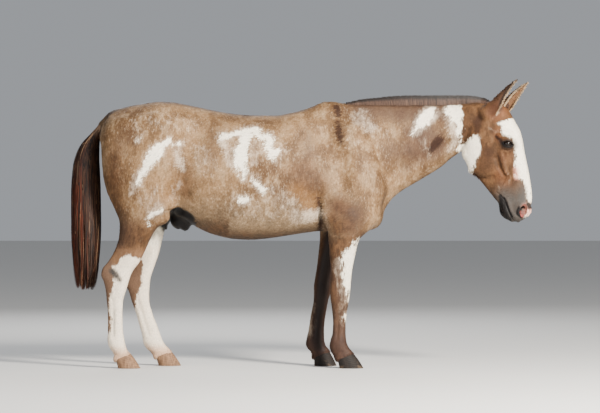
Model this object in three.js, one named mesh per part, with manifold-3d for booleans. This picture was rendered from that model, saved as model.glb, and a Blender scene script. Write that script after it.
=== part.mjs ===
// A life-size mule standing square on, seen from its right side, as a still museum model.
// Millimetres, +Z up. The mule looks along +X, its right side is at -Y, and it stands on z = 0
// with the middle of its own box over the origin.

import * as THREE from 'three';
import { mergeVertices } from 'three/addons/utils/BufferGeometryUtils.js';
import Module from 'manifold-3d';

const wasm = await Module();
wasm.setup();

// Driving sizes of the whole animal
const pollPoint = [1074, 1488];
const headTilt = THREE.MathUtils.degToRad(13);
const headYaw = THREE.MathUtils.degToRad(15);
const yawStart = 330;
const yawEnd = 1060;
const partingGap = 0.3;
const weldLength = 0.05;

// Where the body is parted into its named pieces
const foreCutHeight = 768;
const hindCutHeight = 800;
const neckCutTop = [235, 1520];
const neckCutBottom = [492, 925];
const headCutTop = [1018, 1515];
const headCutBottom = [906, 1222];

// The four hooves: where each toe and heel stands, and how far out from the middle
const hoofSizes = { toeHeight: 84, heelHeight: 42, halfWidthGround: 52, halfWidthCoronet: 44 };
const hooves = {
  hoof_fore_right: { toe: 352, heel: 212, coronetToe: 294, coronetHeel: 190, out: -118 },
  hoof_fore_left: { toe: 203, heel: 70, coronetToe: 158, coronetHeel: 58, out: 118 },
  hoof_hind_right: { toe: -912, heel: -1042, coronetToe: -970, coronetHeel: -1066, out: -128 },
  hoof_hind_left: { toe: -690, heel: -822, coronetToe: -750, coronetHeel: -850, out: 128 },
};

// Eyes and ears
const eyeRadius = 24;
const eyePlace = [236, 58, 80];
const eyeGaze = [0.05, 0.22, 0.97];
const lidRadius = 29.5;
const eyeOpening = { halfLength: 23, halfHeight: 12.5, lean: 10 };
const ears = {
  ear_right: { base: [1076, -56, 1463], tip: [1236, -72, 1636], opening: [0.74, 0.5, -0.67] },
  ear_left: { base: [1116, 52, 1462], tip: [1268, 70, 1623], opening: [0.74, -0.9, -0.67] },
};
const earCutShare = 0.27;

// Finishes
const colours = {
  coat: 0xa88e7c,
  paleCoat: 0xcfc3b6,
  darkCoat: 0x6f5a4c,
  mane: 0x6d6066,
  tail: 0x3a2a24,
  hoof: 0x3b3530,
  paleHoof: 0x9a7f66,
  eye: 0x17100c,
};

function finish(colour, roughness = 0.85) {
  return new THREE.MeshStandardMaterial({ color: colour, roughness, metalness: 0 });
}

// Small maths helpers
const clamp = THREE.MathUtils.clamp;
const lerp = THREE.MathUtils.lerp;

// Joins two distances with a rounded valley that is `blend` wide
function join(a, b, blend) {
  const h = Math.max(blend - Math.abs(a - b), 0) / blend;
  return Math.min(a, b) - (h * h * blend) / 4;
}

function carve(a, b, blend) {
  return -join(-a, b, blend);
}

// A smooth curve through [position, value] pairs that doesn't overshoot them
function curve(points) {
  const last = points.length - 1;
  const gradients = [];
  for (let i = 0; i < last; i += 1) {
    gradients.push((points[i + 1][1] - points[i][1]) / (points[i + 1][0] - points[i][0]));
  }
  const slopes = points.map((_, i) => {
    if (i === 0) return gradients[0];
    if (i === last) return gradients[last - 1];
    const before = gradients[i - 1];
    const after = gradients[i];
    return before * after <= 0 ? 0 : (2 * before * after) / (before + after);
  });
  return (position) => {
    const t = clamp(position, points[0][0], points[last][0]);
    let i = 0;
    while (i < last - 1 && t > points[i + 1][0]) i += 1;
    const step = points[i + 1][0] - points[i][0];
    const s = (t - points[i][0]) / step;
    const w = s * s * (3 - 2 * s);
    const bend = slopes[i] * s * (1 - s) * (1 - s) - slopes[i + 1] * s * s * (1 - s);
    return lerp(points[i][1], points[i + 1][1], w) + step * bend;
  };
}

// One curve for each column of a table whose first column is the position
function curves(rows) {
  const columns = rows[0].length - 1;
  return Array.from({ length: columns }, (_, c) => curve(rows.map((row) => [row[0], row[c + 1]])));
}

// Signed distance, roughly, to an oval with different reach up and down
function ovalDistance(side, rise, halfWidth, halfHeight, power) {
  const a = Math.abs(side) / halfWidth;
  const b = Math.abs(rise) / halfHeight;
  const r = (a ** power + b ** power) ** (1 / power);
  const reach = Math.hypot(side, rise);
  return r > 1e-5 ? reach - reach / r : -Math.min(halfWidth, halfHeight);
}

function ellipsoid(p, centre, radii) {
  const q = [0, 1, 2].map((i) => (p[i] - centre[i]) / radii[i]);
  const near = Math.hypot(...q);
  const slope = Math.hypot(...q.map((value, i) => value / radii[i]));
  return near < 1e-6 ? -Math.min(...radii) : (near * (near - 1)) / slope;
}

// A rod between two points with its own radius at each end
function rod(p, from, to, radiusFrom, radiusTo) {
  const along = to.map((value, i) => value - from[i]);
  const offset = p.map((value, i) => value - from[i]);
  const length2 = along.reduce((sum, value) => sum + value * value, 0);
  const t = clamp(offset.reduce((sum, value, i) => sum + value * along[i], 0) / length2, 0, 1);
  const gap = Math.hypot(...offset.map((value, i) => value - t * along[i]));
  return gap - lerp(radiusFrom, radiusTo, t);
}

// Trunk and neck: back line, belly line, half width, height of the widest place
const backLine = curve([
  [-1118, 1385], [-1109, 1408], [-1092, 1431], [-1035, 1468], [-978, 1488], [-921, 1499],
  [-807, 1515], [-750, 1513], [-636, 1493], [-522, 1469], [-408, 1449], [-294, 1438],
  [-150, 1436], [-66, 1449], [48, 1481], [145, 1515], [190, 1514], [236, 1506], [334, 1500],
  [560, 1497], [790, 1497], [904, 1500], [989, 1508], [1046, 1508],
]);
const bellyLine = curve([
  [-1118, 1310], [-1050, 1180], [-950, 1040], [-850, 950], [-760, 885], [-680, 838],
  [-579, 787], [-522, 761], [-465, 744], [-380, 728], [-294, 724], [-200, 731], [-100, 745],
  [0, 761], [100, 773], [220, 778], [330, 785], [400, 812], [440, 850], [480, 910],
  [505, 948], [562, 998], [676, 1067], [790, 1138], [846, 1181], [921, 1245], [1000, 1325],
  [1046, 1390],
]);
const trunkWidth = curve([
  [-1118, 60], [-1060, 120], [-980, 175], [-880, 215], [-770, 232], [-650, 240], [-500, 262],
  [-350, 276], [-200, 278], [-60, 262], [60, 232], [160, 200], [260, 170], [360, 145],
  [450, 124], [540, 108], [680, 94], [820, 84], [920, 79], [1046, 70],
]);
const widestHeight = curve([
  [-1118, 1350], [-980, 1330], [-850, 1300], [-700, 1190], [-500, 1090], [-300, 1055],
  [-100, 1060], [100, 1070], [260, 1110], [400, 1160], [560, 1230], [760, 1320], [900, 1385],
  [1046, 1450],
]);
const backRoundness = curve([
  [-1118, 2], [-900, 2.1], [-600, 2.0], [-300, 2.15], [-50, 1.9], [120, 1.45], [230, 1.4],
  [400, 1.6], [700, 1.75], [1046, 2],
]);
const bellyRoundness = curve([
  [-1118, 2], [-700, 2.1], [-300, 2.15], [100, 2.3], [400, 2.3], [560, 2.1], [1046, 2.1],
]);
const trunkEnds = [-1112, 1046];

function trunk(x, y, z) {
  const s = clamp(x, trunkEnds[0], trunkEnds[1]);
  const middle = widestHeight(s);
  const above = z > middle;
  const reach = above ? backLine(s) - middle : middle - bellyLine(s);
  const roundness = above ? backRoundness(s) : bellyRoundness(s);
  const wall = ovalDistance(y, z - middle, trunkWidth(s), reach, roundness);
  const end = Math.max(trunkEnds[0] - x, x - trunkEnds[1]);
  return carve(wall, -end, 50);
}

// Legs: height, front, back, distance out, half width, and how much the back edge narrows
const legs = {
  hind_right: [
    [30, -935, -1040, 128, 38, 0], [75, -966, -1052, 128, 38, 0], [102, -986, -1074, 128, 35, 0],
    [132, -997, -1091, 128, 37, 0], [165, -1004, -1098, 128, 35, 0], [215, -1011, -1098, 129, 29, 0],
    [300, -1014, -1098, 130, 28, 0], [384, -1010, -1104, 131, 33, 0], [441, -993, -1110, 132, 41, 0.1],
    [491, -979, -1121, 133, 44, 0.25], [530, -966, -1135, 134, 43, 0.4], [565, -946, -1128, 135, 42, 0.5],
    [600, -918, -1100, 136, 45, 0.5], [665, -884, -1062, 138, 53, 0.45], [740, -850, -1037, 140, 64, 0.4],
    [820, -800, -1031, 142, 80, 0.3], [900, -752, -1058, 143, 92, 0.2], [1000, -722, -1103, 140, 104, 0.1],
    [1100, -705, -1126, 134, 114, 0], [1200, -705, -1134, 125, 120, 0], [1300, -735, -1138, 112, 116, 0],
    [1400, -800, -1095, 90, 95, 0],
  ],
  hind_left: [
    [30, -705, -820, 128, 38, 0], [70, -735, -850, 128, 38, 0], [98, -760, -885, 128, 35, 0],
    [125, -785, -902, 128, 37, 0], [160, -803, -910, 128, 34, 0], [210, -820, -925, 129, 29, 0],
    [300, -855, -950, 130, 28, 0], [370, -873, -975, 131, 33, 0], [420, -874, -990, 132, 41, 0.1],
    [460, -871, -1005, 133, 44, 0.25], [490, -868, -1004, 134, 43, 0.4], [530, -858, -986, 135, 42, 0.5],
    [580, -840, -966, 136, 45, 0.5], [650, -815, -958, 138, 53, 0.45], [730, -795, -972, 140, 64, 0.4],
    [820, -770, -1005, 142, 80, 0.3], [900, -745, -1045, 143, 92, 0.2], [1000, -722, -1100, 140, 104, 0.1],
    [1100, -705, -1126, 134, 114, 0], [1200, -705, -1134, 125, 120, 0], [1300, -735, -1138, 112, 116, 0],
    [1400, -800, -1095, 90, 95, 0],
  ],
  fore_right: [
    [30, 330, 215, 118, 38, 0], [62, 312, 195, 118, 38, 0], [92, 290, 172, 118, 34, 0],
    [124, 266, 161, 118, 36, 0], [158, 255, 166, 118, 35, 0], [203, 251, 175, 119, 28, 0],
    [262, 252, 178, 119, 25, 0], [315, 258, 174, 120, 27, 0], [356, 265, 169, 121, 34, 0],
    [400, 272, 163, 121, 42, 0], [441, 277, 161, 122, 43, 0], [497, 281, 164, 124, 40, 0],
    [554, 287, 166, 126, 42, 0], [640, 305, 157, 129, 52, 0], [723, 326, 152, 133, 62, 0],
    [790, 390, 146, 138, 72, 0], [850, 436, 130, 143, 76, 0], [920, 448, 112, 144, 76, 0],
    [1010, 458, 120, 138, 78, 0], [1110, 436, 142, 124, 76, 0], [1230, 390, 165, 100, 66, 0],
    [1350, 320, 178, 74, 48, 0],
  ],
  fore_left: [
    [30, 190, 78, 118, 38, 0], [68, 172, 72, 118, 38, 0], [92, 158, 46, 118, 34, 0],
    [122, 138, 27, 118, 36, 0], [160, 131, 32, 118, 35, 0], [215, 131, 41, 119, 28, 0],
    [275, 137, 50, 119, 25, 0], [330, 146, 61, 120, 27, 0], [375, 155, 69, 121, 34, 0],
    [412, 166, 70, 121, 42, 0], [450, 175, 70, 122, 43, 0], [497, 184, 76, 124, 40, 0],
    [565, 200, 87, 126, 42, 0], [650, 235, 96, 129, 52, 0], [735, 280, 104, 133, 62, 0],
    [800, 370, 104, 138, 72, 0], [860, 428, 104, 143, 76, 0], [920, 448, 106, 144, 76, 0],
    [1010, 458, 120, 138, 78, 0], [1110, 436, 142, 124, 76, 0], [1230, 390, 165, 100, 66, 0],
    [1350, 320, 178, 74, 48, 0],
  ],
};

function makeLeg(rows, side) {
  const [front, back, out, width, narrowing] = curves(rows);
  const lowest = rows[0][0];
  const highest = rows[rows.length - 1][0];
  return (x, y, z) => {
    const s = clamp(z, lowest, highest);
    const halfLength = (front(s) - back(s)) / 2;
    const along = x - (front(s) + back(s)) / 2;
    const slim = 1 + narrowing(s) * clamp(along / halfLength, -1, 0.6);
    const wall = ovalDistance(y - side * out(s), along, width(s) * slim, halfLength, 2.2);
    return carve(wall, -Math.max(lowest - z, z - highest), 40);
  };
}

const legShapes = {
  hind_right: makeLeg(legs.hind_right, -1),
  hind_left: makeLeg(legs.hind_left, 1),
  fore_right: makeLeg(legs.fore_right, -1),
  fore_left: makeLeg(legs.fore_left, 1),
};

// Muscles and bones that show, on both sides: centre, radii, blend
const bodySwells = [
  { centre: [-768, 190, 1335], radii: [85, 46, 62], blend: 80 },
  { centre: [-790, 160, 895], radii: [58, 66, 80], blend: 50 },
  { centre: [412, 122, 1010], radii: [58, 62, 72], blend: 50 },
  { centre: [134, 158, 912], radii: [44, 42, 52], blend: 35 },
  { centre: [400, 70, 868], radii: [66, 66, 82], blend: 60 },
];
const sheathSwells = [
  { centre: [-690, 0, 842], radii: [62, 44, 62], blend: 30 },
  { centre: [-662, 0, 812], radii: [30, 26, 34], blend: 14 },
];

// Head: distance down the face, front, back, half width, place of the widest line
const headFront = curve([
  [-14, 0], [0, 40], [18, 70], [45, 89], [89, 103], [126, 112], [183, 126], [218, 127],
  [300, 123], [404, 121], [500, 115], [545, 109], [575, 101], [606, 87], [635, 64],
  [660, 36], [674, 4],
]);
const headBack = curve([
  [-14, -60], [0, -110], [60, -150], [130, -180], [199, -206], [250, -219], [300, -219],
  [342, -202], [394, -156], [457, -123], [523, -92], [550, -80], [578, -82], [614, -81],
  [644, -62], [664, -36], [674, -12],
]);
const headWidth = curve([
  [-14, 30], [0, 44], [40, 62], [100, 78], [170, 86], [240, 86], [310, 78], [370, 66],
  [430, 56], [490, 50], [550, 49], [600, 51], [640, 46], [662, 34], [674, 18],
]);
const headWidest = curve([
  [-14, -30], [60, -20], [170, 20], [260, 10], [340, 10], [430, 20], [520, 18], [600, 10],
  [674, -2],
]);
const headEnds = [-14, 674];

// Swellings of the head on both sides, as down, forward, out
const headSwells = [
  { centre: [222, 52, 62], radii: [58, 46, 38], blend: 28 },
  { centre: [190, -70, 56], radii: [95, 90, 32], blend: 30 },
  { centre: [285, -95, 46], radii: [80, 72, 34], blend: 30 },
  { centre: [610, 40, 30], radii: [44, 40, 26], blend: 18 },
  { centre: [640, 10, 16], radii: [33, 40, 34], blend: 16 },
  { centre: [600, -52, 0], radii: [42, 26, 34], blend: 14 },
];
const facialCrest = { from: [275, 8, 76], to: [392, 4, 60], radiusFrom: 11, radiusTo: 8, blend: 16 };
const nostril = { centre: [622, 42, 50], radii: [27, 25, 25] };
const jawGroove = { centre: [420, -196, 0], radii: [170, 52, 22] };

// Millimetres down the face and forward of it, from the side view's x and z
function toHead(x, z) {
  const dx = x - pollPoint[0];
  const dz = z - pollPoint[1];
  const s = Math.sin(headTilt);
  const c = Math.cos(headTilt);
  return [dx * s - dz * c, dx * c + dz * s];
}

function fromHead(down, forward) {
  const s = Math.sin(headTilt);
  const c = Math.cos(headTilt);
  return [pollPoint[0] + down * s + forward * c, pollPoint[1] - down * c + forward * s];
}

function head(x, y, z) {
  const [down, forward] = toHead(x, z);
  const s = clamp(down, headEnds[0], headEnds[1]);
  const middle = headWidest(s);
  const ahead = forward > middle;
  const reach = ahead ? headFront(s) - middle : middle - headBack(s);
  const wall = ovalDistance(y, forward - middle, headWidth(s), reach, ahead ? 2.3 : 3);
  let d = carve(wall, -Math.max(headEnds[0] - down, down - headEnds[1]), 30);
  const p = [down, forward, Math.abs(y)];
  for (const swell of headSwells) {
    d = join(d, ellipsoid(p, swell.centre, swell.radii), swell.blend);
  }
  const crest = rod(p, facialCrest.from, facialCrest.to, facialCrest.radiusFrom, facialCrest.radiusTo);
  d = join(d, crest, facialCrest.blend);
  d = carve(d, ellipsoid(p, jawGroove.centre, jawGroove.radii), 20);
  d = carve(d, ellipsoid(p, nostril.centre, nostril.radii), 8);
  return d;
}

// The fleshy root of each ear
function earRoot(x, y, z) {
  let d = Infinity;
  for (const { base, tip } of Object.values(ears)) {
    const up = base.map((value, i) => lerp(value, tip[i], 0.2));
    d = Math.min(d, rod([x, y, z], base, up, 35, 22));
  }
  return d;
}

// The whole flesh of the mule before the neck is turned
function body(x, y, z) {
  let d = trunk(x, y, z);
  const legBlend = lerp(38, 110, clamp((z - 780) / 250, 0, 1));
  for (const leg of Object.values(legShapes)) d = join(d, leg(x, y, z), legBlend);
  const p = [x, Math.abs(y), z];
  for (const swell of bodySwells) {
    d = join(d, ellipsoid(p, swell.centre, swell.radii), swell.blend);
  }
  for (const swell of sheathSwells) {
    d = join(d, ellipsoid(p, swell.centre, swell.radii), swell.blend);
  }
  if (x > 700) d = join(d, head(x, y, z), 24);
  if (x > 950) d = join(d, earRoot(x, y, z), 24);
  return d;
}

// The neck turns the head towards the mule's right
function turn(x) {
  const t = clamp((x - yawStart) / (yawEnd - yawStart), 0, 1);
  return headYaw * t * t * (3 - 2 * t);
}

// How far the middle line of the neck has moved to the right at x
const sideSteps = 60;
const sideShift = [0];
for (let i = 1; i <= sideSteps; i += 1) {
  const step = (yawEnd - yawStart) / sideSteps;
  const x = yawStart + (i - 0.5) * step;
  sideShift.push(sideShift[i - 1] + Math.tan(turn(x)) * step);
}

function shift(x) {
  if (x <= yawStart) return 0;
  if (x >= yawEnd) return sideShift[sideSteps] + (x - yawEnd) * Math.tan(headYaw);
  const s = ((x - yawStart) / (yawEnd - yawStart)) * sideSteps;
  const i = Math.min(Math.floor(s), sideSteps - 1);
  return lerp(sideShift[i], sideShift[i + 1], s - i);
}

function turned(x, y, z) {
  const angle = turn(x);
  return [x + y * Math.sin(angle), -shift(x) + y * Math.cos(angle), z];
}

// A mesh from a flat list of coordinates and a list of corners
function indexed(positions, triangles) {
  const geometry = new THREE.BufferGeometry();
  geometry.setAttribute('position', new THREE.Float32BufferAttribute(positions, 3));
  geometry.setIndex(triangles);
  return geometry;
}

// A list of grid lines from `from` to `to`, about `step` apart
function lines(from, to, step) {
  const count = Math.max(2, Math.round((to - from) / step));
  return Array.from({ length: count + 1 }, (_, i) => lerp(from, to, i / count));
}

// Empties the weaker of two grid points that touch only across a square's diagonal,
// so that no edge of the surface is shared by four faces
function untangle(values, counts, index) {
  const planes = [[[1, 0, 0], [0, 1, 0]], [[0, 1, 0], [0, 0, 1]], [[1, 0, 0], [0, 0, 1]]];
  let changed = true;
  while (changed) {
    changed = false;
    for (let i = 0; i < counts[0] - 1; i += 1) {
      for (let j = 0; j < counts[1] - 1; j += 1) {
        for (let k = 0; k < counts[2] - 1; k += 1) {
          for (const [u, v] of planes) {
            const a = index(i, j, k);
            const b = index(i + u[0], j + u[1], k + u[2]);
            const c = index(i + u[0] + v[0], j + u[1] + v[1], k + u[2] + v[2]);
            const d = index(i + v[0], j + v[1], k + v[2]);
            const [inA, inB, inC, inD] = [a, b, c, d].map((at) => values[at] < 0);
            if (inA !== inC || inB !== inD || inA === inB) continue;
            const [p, q] = inA ? [a, c] : [b, d];
            const weaker = values[p] > values[q] ? p : q;
            values[weaker] = -0.1 * values[weaker];
            changed = true;
          }
        }
      }
    }
  }
}

// A closed faceted surface where the distance is zero inside a block of grid lines,
// with one vertex in each cell that the surface crosses
function facet(distance, xs, ys, zs, place) {
  const counts = [xs.length, ys.length, zs.length];
  const [nx, ny, nz] = counts;
  const index = (i, j, k) => (i * ny + j) * nz + k;
  const values = new Float64Array(nx * ny * nz);
  for (let i = 0; i < nx; i += 1) {
    for (let j = 0; j < ny; j += 1) {
      for (let k = 0; k < nz; k += 1) {
        const rim = i === 0 || j === 0 || k === 0 || i === nx - 1 || j === ny - 1 || k === nz - 1;
        const value = distance(xs[i], ys[j], zs[k]);
        values[index(i, j, k)] = rim ? Math.max(value, 1) : value;
      }
    }
  }
  untangle(values, counts, index);
  const corners = [0, 1, 2, 3, 4, 5, 6, 7].map((c) => [c & 1, (c >> 1) & 1, (c >> 2) & 1]);
  const edges = [];
  for (let a = 0; a < 8; a += 1) {
    for (const bit of [1, 2, 4]) {
      if (!(a & bit)) edges.push([a, a | bit]);
    }
  }
  const cellVertex = new Int32Array(nx * ny * nz).fill(-1);
  const positions = [];
  for (let i = 0; i < nx - 1; i += 1) {
    for (let j = 0; j < ny - 1; j += 1) {
      for (let k = 0; k < nz - 1; k += 1) {
        const at = corners.map(([a, b, c]) => values[index(i + a, j + b, k + c)]);
        const sum = [0, 0, 0];
        let crossings = 0;
        for (const [a, b] of edges) {
          if (at[a] < 0 === at[b] < 0) continue;
          const t = at[a] / (at[a] - at[b]);
          const pa = corners[a];
          const pb = corners[b];
          sum[0] += lerp(xs[i + pa[0]], xs[i + pb[0]], t);
          sum[1] += lerp(ys[j + pa[1]], ys[j + pb[1]], t);
          sum[2] += lerp(zs[k + pa[2]], zs[k + pb[2]], t);
          crossings += 1;
        }
        if (crossings === 0) continue;
        cellVertex[index(i, j, k)] = positions.length / 3;
        positions.push(...place(sum[0] / crossings, sum[1] / crossings, sum[2] / crossings));
      }
    }
  }
  const triangles = [];
  const square = (a, b, c, d, flip) => {
    if (flip) triangles.push(a, c, b, a, d, c);
    else triangles.push(a, b, c, a, c, d);
  };
  for (let i = 0; i < nx - 1; i += 1) {
    for (let j = 0; j < ny - 1; j += 1) {
      for (let k = 0; k < nz - 1; k += 1) {
        const inside = values[index(i, j, k)] < 0;
        const cell = (a, b, c) => cellVertex[index(i - a, j - b, k - c)];
        if (j > 0 && k > 0 && values[index(i + 1, j, k)] < 0 !== inside) {
          square(cell(0, 1, 1), cell(0, 0, 1), cell(0, 0, 0), cell(0, 1, 0), !inside);
        }
        if (i > 0 && k > 0 && values[index(i, j + 1, k)] < 0 !== inside) {
          square(cell(1, 0, 1), cell(1, 0, 0), cell(0, 0, 0), cell(0, 0, 1), !inside);
        }
        if (i > 0 && j > 0 && values[index(i, j, k + 1)] < 0 !== inside) {
          square(cell(1, 1, 0), cell(0, 1, 0), cell(0, 0, 0), cell(1, 0, 0), !inside);
        }
      }
    }
  }
  return indexed(positions, triangles);
}

// Between three.js meshes and solids that can be joined and cut
function solid(geometry) {
  const bare = geometry.clone();
  bare.deleteAttribute('normal');
  bare.deleteAttribute('uv');
  const merged = mergeVertices(bare, 1e-3);
  return new wasm.Manifold(new wasm.Mesh({
    numProp: 3,
    vertProperties: new Float32Array(merged.attributes.position.array),
    triVerts: new Uint32Array(merged.index.array),
  }));
}

// The largest closed surface of a solid
function biggest(shape) {
  return shape.decompose().reduce((best, piece) => (piece.volume() > best.volume() ? piece : best));
}

function largest(shape) {
  return plain(biggest(shape));
}

// A solid as a three.js geometry, with edges shorter than `weldLength` drawn together
function plain(shape) {
  const mesh = shape.getMesh();
  const points = mesh.vertProperties;
  const owner = Array.from({ length: points.length / 3 }, (_, i) => i);
  const find = (i) => {
    let root = i;
    while (owner[root] !== root) root = owner[root];
    return root;
  };
  const apart = (a, b) => Math.hypot(...[0, 1, 2].map((i) => points[3 * a + i] - points[3 * b + i]));
  const triangles = Array.from(mesh.triVerts);
  for (let i = 0; i < triangles.length; i += 1) {
    const a = triangles[i];
    const b = triangles[i % 3 === 2 ? i - 2 : i + 1];
    if (apart(a, b) < weldLength) owner[find(a)] = find(b);
  }
  const faces = new Map();
  for (let i = 0; i < triangles.length; i += 3) {
    const face = triangles.slice(i, i + 3).map(find);
    if (new Set(face).size < 3) continue;
    const key = [...face].sort((a, b) => a - b).join(' ');
    if (faces.has(key)) faces.delete(key);
    else faces.set(key, face);
  }
  const geometry = indexed(Array.from(points), [...faces.values()].flat());
  return mergeVertices(geometry.toNonIndexed(), 1e-5);
}

function block(low, high) {
  const size = high.map((value, i) => value - low[i]);
  const geometry = new THREE.BoxGeometry(...size);
  geometry.translate(...low.map((value, i) => value + size[i] / 2));
  return solid(geometry);
}

// A solid cut by a wide plane through two points of the side view, turned about the upright by
// `angle`. What lies ahead of it is kept where `keep` is 1, and what lies behind where it is -1.
function parted(shape, top, bottom, angle, keep) {
  const across = new THREE.Vector3(Math.sin(angle), Math.cos(angle), 0);
  const from = new THREE.Vector3(...turned(top[0], 0, top[1]));
  const down = new THREE.Vector3(...turned(bottom[0], 0, bottom[1])).sub(from);
  const normal = across.cross(down).normalize();
  if (normal.x * keep < 0) normal.negate();
  return shape.trimByPlane(normal.toArray(), normal.dot(from) + partingGap / 2);
}

const headCutAngle = turn(headCutTop[0]);

// Torso with the upper legs
function makeTorso() {
  const xs = lines(-1230, 620, 60);
  const ys = lines(-330, 330, 47);
  const zs = lines(600, 1580, 51);
  let torso = solid(facet(body, xs, ys, zs, turned));
  torso = parted(torso, neckCutTop, neckCutBottom, 0, -1);
  for (const side of [-1, 1]) {
    const inner = side < 0 ? [-400, -25] : [25, 400];
    torso = torso.subtract(block([20, inner[0], -50], [480, inner[1], foreCutHeight]));
    torso = torso.subtract(block([-1250, inner[0], -50], [-700, inner[1], hindCutHeight]));
  }
  return biggest(torso);
}

function makeNeck() {
  const xs = lines(120, 1120, 54);
  const ys = lines(-230, 230, 38);
  const zs = lines(840, 1600, 42);
  let neck = solid(facet(body, xs, ys, zs, turned));
  neck = parted(neck, neckCutTop, neckCutBottom, 0, 1);
  neck = parted(neck, headCutTop, headCutBottom, headCutAngle, -1);
  return biggest(neck);
}

function makeLegMesh(name) {
  const rows = legs[name];
  const side = name.endsWith('right') ? -1 : 1;
  const fronts = rows.filter((row) => row[0] < 840).map((row) => row[1]);
  const backs = rows.filter((row) => row[0] < 840).map((row) => row[2]);
  const xs = lines(Math.min(...backs) - 30, Math.max(...fronts) + 30, 25);
  const ys = side < 0 ? lines(-260, -30, 21) : lines(30, 260, 21);
  const top = name.startsWith('fore') ? foreCutHeight : hindCutHeight;
  const zs = lines(-10, top + 80, 42);
  let leg = solid(facet(body, xs, ys, zs, (x, y, z) => [x, y, z]));
  leg = leg.trimByPlane([0, 0, -1], -(top - partingGap));
  const hoof = hooves[`hoof_${name}`];
  const normal = coronetNormal(hoof);
  const point = new THREE.Vector3(hoof.coronetToe, 0, hoofSizes.toeHeight);
  leg = leg.trimByPlane(normal.toArray(), normal.dot(point) + partingGap);
  return largest(leg);
}

// The coronet's plane leans back from toe to heel
function coronetNormal(hoof) {
  const rise = hoofSizes.toeHeight - hoofSizes.heelHeight;
  return new THREE.Vector3(-rise, 0, hoof.coronetToe - hoof.coronetHeel).normalize();
}

function makeHoof(hoof) {
  const sides = 16;
  const rings = [0, 0.5, 1];
  const positions = [];
  for (const t of rings) {
    const toe = lerp(hoof.toe, hoof.coronetToe, t);
    const heel = lerp(hoof.heel, hoof.coronetHeel, t);
    const width = lerp(hoofSizes.halfWidthGround, hoofSizes.halfWidthCoronet, t);
    for (let i = 0; i < sides; i += 1) {
      const angle = (2 * Math.PI * i) / sides;
      const along = Math.cos(angle) < 0 ? -(Math.abs(Math.cos(angle)) ** 0.7) : Math.cos(angle);
      const x = (toe + heel) / 2 + ((toe - heel) / 2) * along;
      const y = hoof.out + width * Math.sin(angle) * (1 - 0.06 * Math.cos(angle));
      const share = (x - hoof.coronetHeel) / (hoof.coronetToe - hoof.coronetHeel);
      const top = lerp(hoofSizes.heelHeight, hoofSizes.toeHeight, share);
      positions.push(x, y, t === 0 ? 0 : t * top);
    }
  }
  const triangles = [];
  for (let ring = 0; ring < rings.length - 1; ring += 1) {
    for (let i = 0; i < sides; i += 1) {
      const a = ring * sides + i;
      const b = ring * sides + ((i + 1) % sides);
      triangles.push(a, b, b + sides, a, b + sides, a + sides);
    }
  }
  const topRing = (rings.length - 1) * sides;
  for (let i = 1; i < sides - 1; i += 1) {
    triangles.push(0, i + 1, i);
    triangles.push(topRing, topRing + i, topRing + i + 1);
  }
  return indexed(positions, triangles);
}

// The head's own grid: finer at the eyes and at the muzzle
function makeHeadMesh() {
  const down = [...lines(-40, 160, 33), ...lines(185, 290, 26), ...lines(320, 540, 36),
    ...lines(560, 690, 18)];
  const forward = lines(-244, 156, 25);
  const out = lines(-132, 132, 22);
  const distance = (f, d, o) => {
    const [x, z] = fromHead(d, f);
    return body(x, o, z);
  };
  const place = (f, d, o) => {
    const [x, z] = fromHead(d, f);
    return turned(x, o, z);
  };
  return solid(facet(distance, forward, down, out, place));
}

// Head with its lids, mouth and the roots of its ears
function makeHead(earShapes) {
  let shape = makeHeadMesh();
  shape = parted(shape, headCutTop, headCutBottom, headCutAngle, 1);
  for (const side of [-1, 1]) {
    shape = shape.add(eyeball(side, lidRadius));
    shape = shape.subtract(eyeball(side, eyeRadius + partingGap));
    shape = shape.subtract(eyeSlit(side));
  }
  shape = shape.subtract(makeMouth());
  for (const [name, ear] of Object.entries(ears)) {
    shape = shape.add(earShapes[name]).subtract(earSlice(ear));
  }
  return shape;
}

// Outer form of the tail: height, rear edge, front edge
const tailEdges = [
  [1415, -1118, -1062], [1385, -1150, -1100], [1351, -1188, -1128], [1311, -1228, -1145],
  [1237, -1274, -1152], [1151, -1300, -1152], [1000, -1311, -1146], [781, -1311, -1143],
  [610, -1302, -1154], [500, -1293, -1165], [440, -1284, -1178],
];
const tailSideShare = 0.8;

const tailMiddle = curve(tailEdges.map(([z, outer, inner]) => [z, (outer + inner) / 2]).reverse());
const tailHalf = curve(tailEdges.map(([z, outer, inner]) => [z, (inner - outer) / 2]).reverse());

// The fleshy dock inside the tail's upper part: height, middle, radius
const dock = [
  [1425, -1060, 30], [1408, -1092, 30], [1380, -1128, 29], [1340, -1158, 27], [1280, -1180, 24],
  [1200, -1196, 20], [1110, -1206, 13],
];
const dockMiddle = curve(dock.map(([z, x]) => [z, x]).reverse());

// Layers of tail locks: how many, how far out, where the roots and tips lie, half width
const tailLayers = [
  { count: 13, reach: 0.93, roots: [1385, 1402], tips: [440, 510], halfWidth: 23 },
  { count: 4, reach: 0.42, roots: [1220, 1300], tips: [438, 470], halfWidth: 24 },
  { count: 5, reach: 0.97, roots: [1335, 1360], tips: [700, 1050], halfWidth: 17 },
];
const tailSettle = 90;
const lockThickness = 0.5;
const lockTaper = curve([[0, 0.62], [0.3, 1], [0.75, 1], [1, 0.3]]);

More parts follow.
